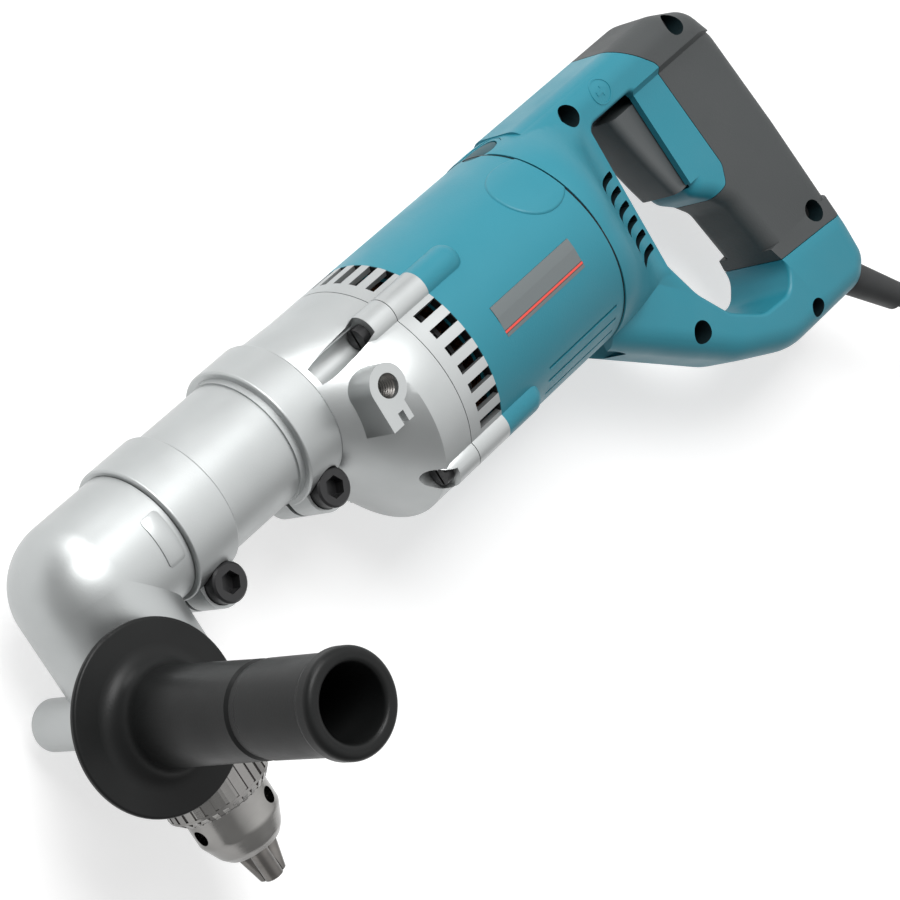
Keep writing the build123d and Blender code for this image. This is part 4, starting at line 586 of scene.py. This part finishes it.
dress(black_steel, "handle_screws")
# Painted shade: a near-black teal for the walls of the screw wells and air slots and for the plates behind
# the slots, standing for the shade inside them.
painted_recess_shade, tree, shader, place = new_finish("painted_recess_shade", (0.004, 0.012, 0.014), 0.7)
shader.inputs["Specular IOR Level"].default_value = 0.15
add_tone(tree, place, shader.inputs["Base Color"], 300, (0.003, 0.009, 0.011), (0.005, 0.015, 0.018))
add_grain(tree, shader, place, 1400, 0.18, 0.0003)
handle_spot = Vector((seam_x, elbow.y, elbow.z))
bar_half = 0.0195
well_floor = 0.0072
wells = ((0.0406, 0.0194, 0.0051), (0.1191, 0.0197, 0.0051), (0.1401, -0.0887, 0.0051),
         (0.0455, -0.0922, 0.0051), (0.1119, -0.1225, 0.0042))
pocket_low = (0.068, -0.042, -0.0132)
pocket_high = (0.0955, 0.0093, 0.0132)
slot_rows = [-0.0115 - 0.0072 * row for row in range(6)]
slot_start = 0.0255
slot_end = 0.0443
slot_half = 0.00155
slot_foot = 0.011
slot_top = 0.036
shade_start = 0.0068
shade_end = 0.0192
row_slack = 0.00015
end_slack = 0.0002
for side, name, node in ((1, "handle_upper", "handle_half_upper"),
                         (-1, "handle_lower", "handle_half_lower")):
    cuts = bmesh.new()
    block_between(cuts, pocket_low, pocket_high)
    for row_y in slot_rows:
        foot, top = sorted((side * slot_foot, side * slot_top))
        block_between(cuts, (slot_start, row_y - slot_half, foot), (slot_end, row_y + slot_half, top),
                      0.0014)
    sink_wells(cuts, wells, side)
    bmesh.ops.translate(cuts, verts=cuts.verts[:], vec=handle_spot)
    half = recut(name, node, cuts, teal_moulding, "tool")
    half.data.materials.append(painted_recess_shade)
    # Faces on the walls of the wells and slots take the painted shade.
    for face in half.data.polygons:
        spot = face.center - handle_spot
        depth = side * spot.z
        well_wall = in_well(spot, wells) and shade_start < depth < shade_end
        in_row = any(abs(spot.y - row_y) < slot_half + row_slack for row_y in slot_rows)
        in_reach = slot_start - end_slack < spot.x < slot_end + end_slack
        slot_wall = in_row and in_reach and depth > slot_foot - end_slack
        if well_wall or slot_wall:
            face.material_index = 1

# Painted shade: dark plates inside the shell behind the air slots, so that the slots read as dark.
shade_plate_start = (0.0235, -0.0535)
shade_plate_end = (0.0452, -0.0085)
shade_plate_foot = 0.0125
shade_plate_top = 0.0135
shade_plate_mesh = bmesh.new()
for side in (1, -1):
    foot, top = sorted((side * shade_plate_foot, side * shade_plate_top))
    block_between(shade_plate_mesh, (*shade_plate_start, foot), (*shade_plate_end, top), 0.002)
bmesh.ops.translate(shade_plate_mesh, verts=shade_plate_mesh.verts[:], vec=handle_spot)
settle("slot_shade_plates", shade_plate_mesh, painted_recess_shade, "tool")

# Painted shadow: a thin black ring in the seam between the handle and the motor housing, standing for the
# shadow in the gap.
seam_shadow_front = seam_x - 0.0004
seam_shadow_back = seam_x + 0.0004
seam_shadow_inner = elbow.z + barrel_r - 0.003
seam_shadow_outer = elbow.z + barrel_r + 0.00002
seam_shadow_corners = ((seam_shadow_front, motor_y, seam_shadow_inner), (seam_shadow_front, motor_y, seam_shadow_outer),
                  (seam_shadow_back, motor_y, seam_shadow_outer), (seam_shadow_back, motor_y, seam_shadow_inner))
seam_shadow_mesh = turn_ring(seam_shadow_corners, (seam_x, motor_y, elbow.z), (1, 0, 0), 128)
settle("seam_shadow_ring", seam_shadow_mesh, black_moulding, "tool")

mark_x = 0.13354
mark_y = 0.08202
bar_z = elbow.z + bar_half
mark_foot = -0.0004
mark_top = 0.0003
mark_corners = ((0.0052, 0, mark_foot), (0.0053, 0, mark_top), (0.0059, 0, mark_top), (0.006, 0, mark_foot))
mark_mesh = turn_ring(mark_corners, (0, 0, 0), (0, 0, 1), 64)
arrow_shaft = ((-0.003, -0.0009), (0.0005, -0.0009), (0.0005, 0.0009), (-0.003, 0.0009))
arrow_tip = ((0.0004, -0.0024), (0.0034, 0.0), (0.0004, 0.0024))
for outline in (arrow_shaft, arrow_tip):
    foot = [mark_mesh.verts.new((x, y, mark_foot)) for x, y in outline]
    raise_face(mark_mesh, mark_mesh.faces.new(foot), mark_top - mark_foot)
flat_end = 0.0173
fall_start = elbow.y + flat_end - mark_y
fall_r = 0.011
for vert in mark_mesh.verts:
    over = max(0.0, vert.co.y - fall_start)
    drop = fall_r - sqrt(max(0.0, fall_r * fall_r - over * over))
    vert.co = (mark_x + vert.co.x, mark_y + vert.co.y, bar_z + vert.co.z - drop)
settle("direction_mark", mark_mesh, teal_moulding, "tool")

# Grip covers: soft dark grey elastomer moulded over the rear of both halves, with two of the
# screw wells running through each.
grip_rubber, tree, shader, place = new_finish("grip_rubber", (0.05, 0.055, 0.056), 0.58)
shader.inputs["Specular IOR Level"].default_value = 0.35
add_tone(tree, place, shader.inputs["Base Color"], 20, (0.046, 0.05, 0.051), (0.056, 0.061, 0.062))
add_tone(tree, place, shader.inputs["Roughness"], 40, (0.5,) * 3, (0.66,) * 3)
add_grain(tree, shader, place, 1100, 0.3, 0.0003)
cover_wells = wells[1:3]
for side, name, node in ((1, "grip_upper", "grip_cover_upper"), (-1, "grip_lower", "grip_cover_lower")):
    cuts = bmesh.new()
    sink_wells(cuts, cover_wells, side)
    bmesh.ops.translate(cuts, verts=cuts.verts[:], vec=handle_spot)
    cover = recut(name, node, cuts, grip_rubber, "tool")
    # The walls of the screw wells take the painted shade.
    cover.data.materials.append(painted_recess_shade)
    for face in cover.data.polygons:
        if in_well(face.center - handle_spot, cover_wells):
            face.material_index = 1

# Switch: moulded body and reversing lever in black plastic, and a wide trigger in dark grey that
# leans back at its foot. The trigger slides between the handle halves.
dress(black_moulding, "switch_body", "reversing_lever")
trigger_moulding, tree, shader, place = new_finish("trigger_moulding", (0.075, 0.081, 0.083), 0.42)
shader.inputs["Specular IOR Level"].default_value = 0.35
add_tone(tree, place, shader.inputs["Base Color"], 30, (0.069, 0.075, 0.077), (0.081, 0.087, 0.089))
add_tone(tree, place, shader.inputs["Roughness"], 50, (0.36,) * 3, (0.48,) * 3)
add_grain(tree, shader, place, 1300, 0.2, 0.0002)
pad_outline = ((0.0875, 0.003), (0.0875, -0.041), (0.078, -0.041), (0.0752, -0.033), (0.0726, -0.0245),
               (0.0702, -0.016), (0.068, -0.0075), (0.0658, 0.003))
stem_outline = ((0.0955, 0.003), (0.0955, -0.041), (0.087, -0.041), (0.087, 0.003))
trigger_mesh = bmesh.new()
for outline, half_width in ((pad_outline, 0.0124), (stem_outline, 0.0088)):
    foot = [trigger_mesh.verts.new((x, y, -half_width)) for x, y in outline]
    raise_face(trigger_mesh, trigger_mesh.faces.new(foot), 2 * half_width)
front_end = 0.0785
front = []
for edge in trigger_mesh.edges:
    flat = abs(edge.verts[0].co.z - edge.verts[1].co.z) < 0.001
    if flat and max(vert.co.x for vert in edge.verts) < front_end:
        front.append(edge)
bmesh.ops.bevel(trigger_mesh, geom=front, offset=0.004, segments=5, affect="EDGES", profile=0.5,
                material=-1)
bmesh.ops.translate(trigger_mesh, verts=trigger_mesh.verts[:], vec=handle_spot)
finger_trigger = settle("finger_trigger", trigger_mesh, trigger_moulding, "trigger", 40)
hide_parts("trigger")

# Mains lead of black rubber, 8.4 mm thick, held by a clamp bar and two screws inside the heel
# of the handle. It leaves through a moulded guard, drops to the bench and is wound into a flat
# coil of two layers, tied, outside the picture.
cord_rubber, tree, shader, place = new_finish("cord_rubber", (0.014, 0.014, 0.015), 0.5)
shader.inputs["Specular IOR Level"].default_value = 0.3
add_tone(tree, place, shader.inputs["Roughness"], 60, (0.42,) * 3, (0.6,) * 3)
add_grain(tree, shader, place, 1500, 0.25, 0.0002)
dress(black_moulding, "cord_clamp")
dress(ground_steel, "cord_clamp_screws")
guard_rubber, tree, shader, place = new_finish("guard_rubber", (0.022, 0.0235, 0.024), 0.5)
shader.inputs["Specular IOR Level"].default_value = 0.3
add_tone(tree, place, shader.inputs["Base Color"], 60, (0.019, 0.02, 0.021), (0.025, 0.0265, 0.027))
add_tone(tree, place, shader.inputs["Roughness"], 70, (0.42,) * 3, (0.56,) * 3)
add_grain(tree, shader, place, 1300, 0.2, 0.0002)
dress(guard_rubber, "cord_guard")

cord_r = 0.0042
coil_start_r = 0.064
coil_pitch = 0.0092
coil_layer = 0.0092
coil_turns = 6.0
tail_turns = 0.25
tail_reach = 0.014
tail_drop = 0.0055
lead_in = 0.064
entry_way = Vector((1, 0, 0))
entry_side = Vector((0, 1, 0))
coil_entry = Vector((0.47394, -0.14008, 0.0062))
coil_centre = coil_entry + entry_side * coil_start_r
route = [Vector((0.200343, -0.038329, 0.04833)), Vector((0.226795, -0.068333, 0.04833)),
         Vector((0.283007, -0.132092, 0.04833)), coil_entry - entry_way * (lead_in + 2 * cord_r)]
step = 1 / 16
for index in range(int((coil_turns + tail_turns) / step) + 1):
    turns = index * step
    reach = coil_start_r - coil_pitch * (coil_turns / 2 - abs(turns - coil_turns / 2))
    height = coil_layer * min(1, max(0, (turns - coil_turns / 2 + 0.25) / 0.5))
    if turns > coil_turns:
        share = (turns - coil_turns) / tail_turns
        ease = share * share * (3 - 2 * share)
        reach = coil_start_r + tail_reach * ease
        height -= tail_drop * ease
    angle = atan2(-entry_side.y, -entry_side.x) + 2 * pi * turns
    route.append(coil_centre + Vector((reach * cos(angle), reach * sin(angle), height)))
route.append(route[-1] + entry_side * 2 * cord_r)

cord_curve = bpy.data.curves.new("power_lead", "CURVE")
cord_curve.dimensions = "3D"
cord_curve.bevel_depth = cord_r
cord_curve.bevel_resolution = 4
cord_curve.resolution_u = 6
cord_curve.use_fill_caps = True
lead = cord_curve.splines.new("NURBS")
lead.points.add(len(route) - 1)
for point, spot in zip(lead.points, route):
    point.co = (*spot, 1)
lead.order_u = 3
lead.use_endpoint_u = True
power_lead = bpy.data.objects.new("power_lead", cord_curve)
scene.collection.objects.link(power_lead)
power_lead.data.materials.append(cord_rubber)
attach(power_lead, "tool")
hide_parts("power_cord", "cord_coil")

# Plug and tie: the plug is moulded onto the lead in black rubber, with two nickel-plated
# blades, and a plastic strap ties the coil.
plug_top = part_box("power_plug")[1]
plug_rubber, tree, shader, place = new_finish("plug_rubber", (0.022, 0.022, 0.024), 0.45)
height = tree.nodes.new("ShaderNodeSeparateXYZ")
tree.links.new(place, height.inputs[0])
blade_length = 0.0169
blade = tree.nodes.new("ShaderNodeMath")
blade.operation = "GREATER_THAN"
blade.inputs[1].default_value = plug_top[1] - blade_length
tree.links.new(height.outputs["Y"], blade.inputs[0])
coat = tree.nodes.new("ShaderNodeValToRGB")
coat.color_ramp.elements[0].color = (0.022, 0.022, 0.024, 1)
coat.color_ramp.elements[1].color = (0.58, 0.56, 0.5, 1)
tree.links.new(blade.outputs[0], coat.inputs["Fac"])
tree.links.new(coat.outputs["Color"], shader.inputs["Base Color"])
tree.links.new(blade.outputs[0], shader.inputs["Metallic"])
add_tone(tree, place, shader.inputs["Roughness"], 60, (0.36,) * 3, (0.5,) * 3)
add_grain(tree, shader, place, 1400, 0.2, 0.0002)
dress(plug_rubber, "power_plug")
dress(black_moulding, "coil_tie")
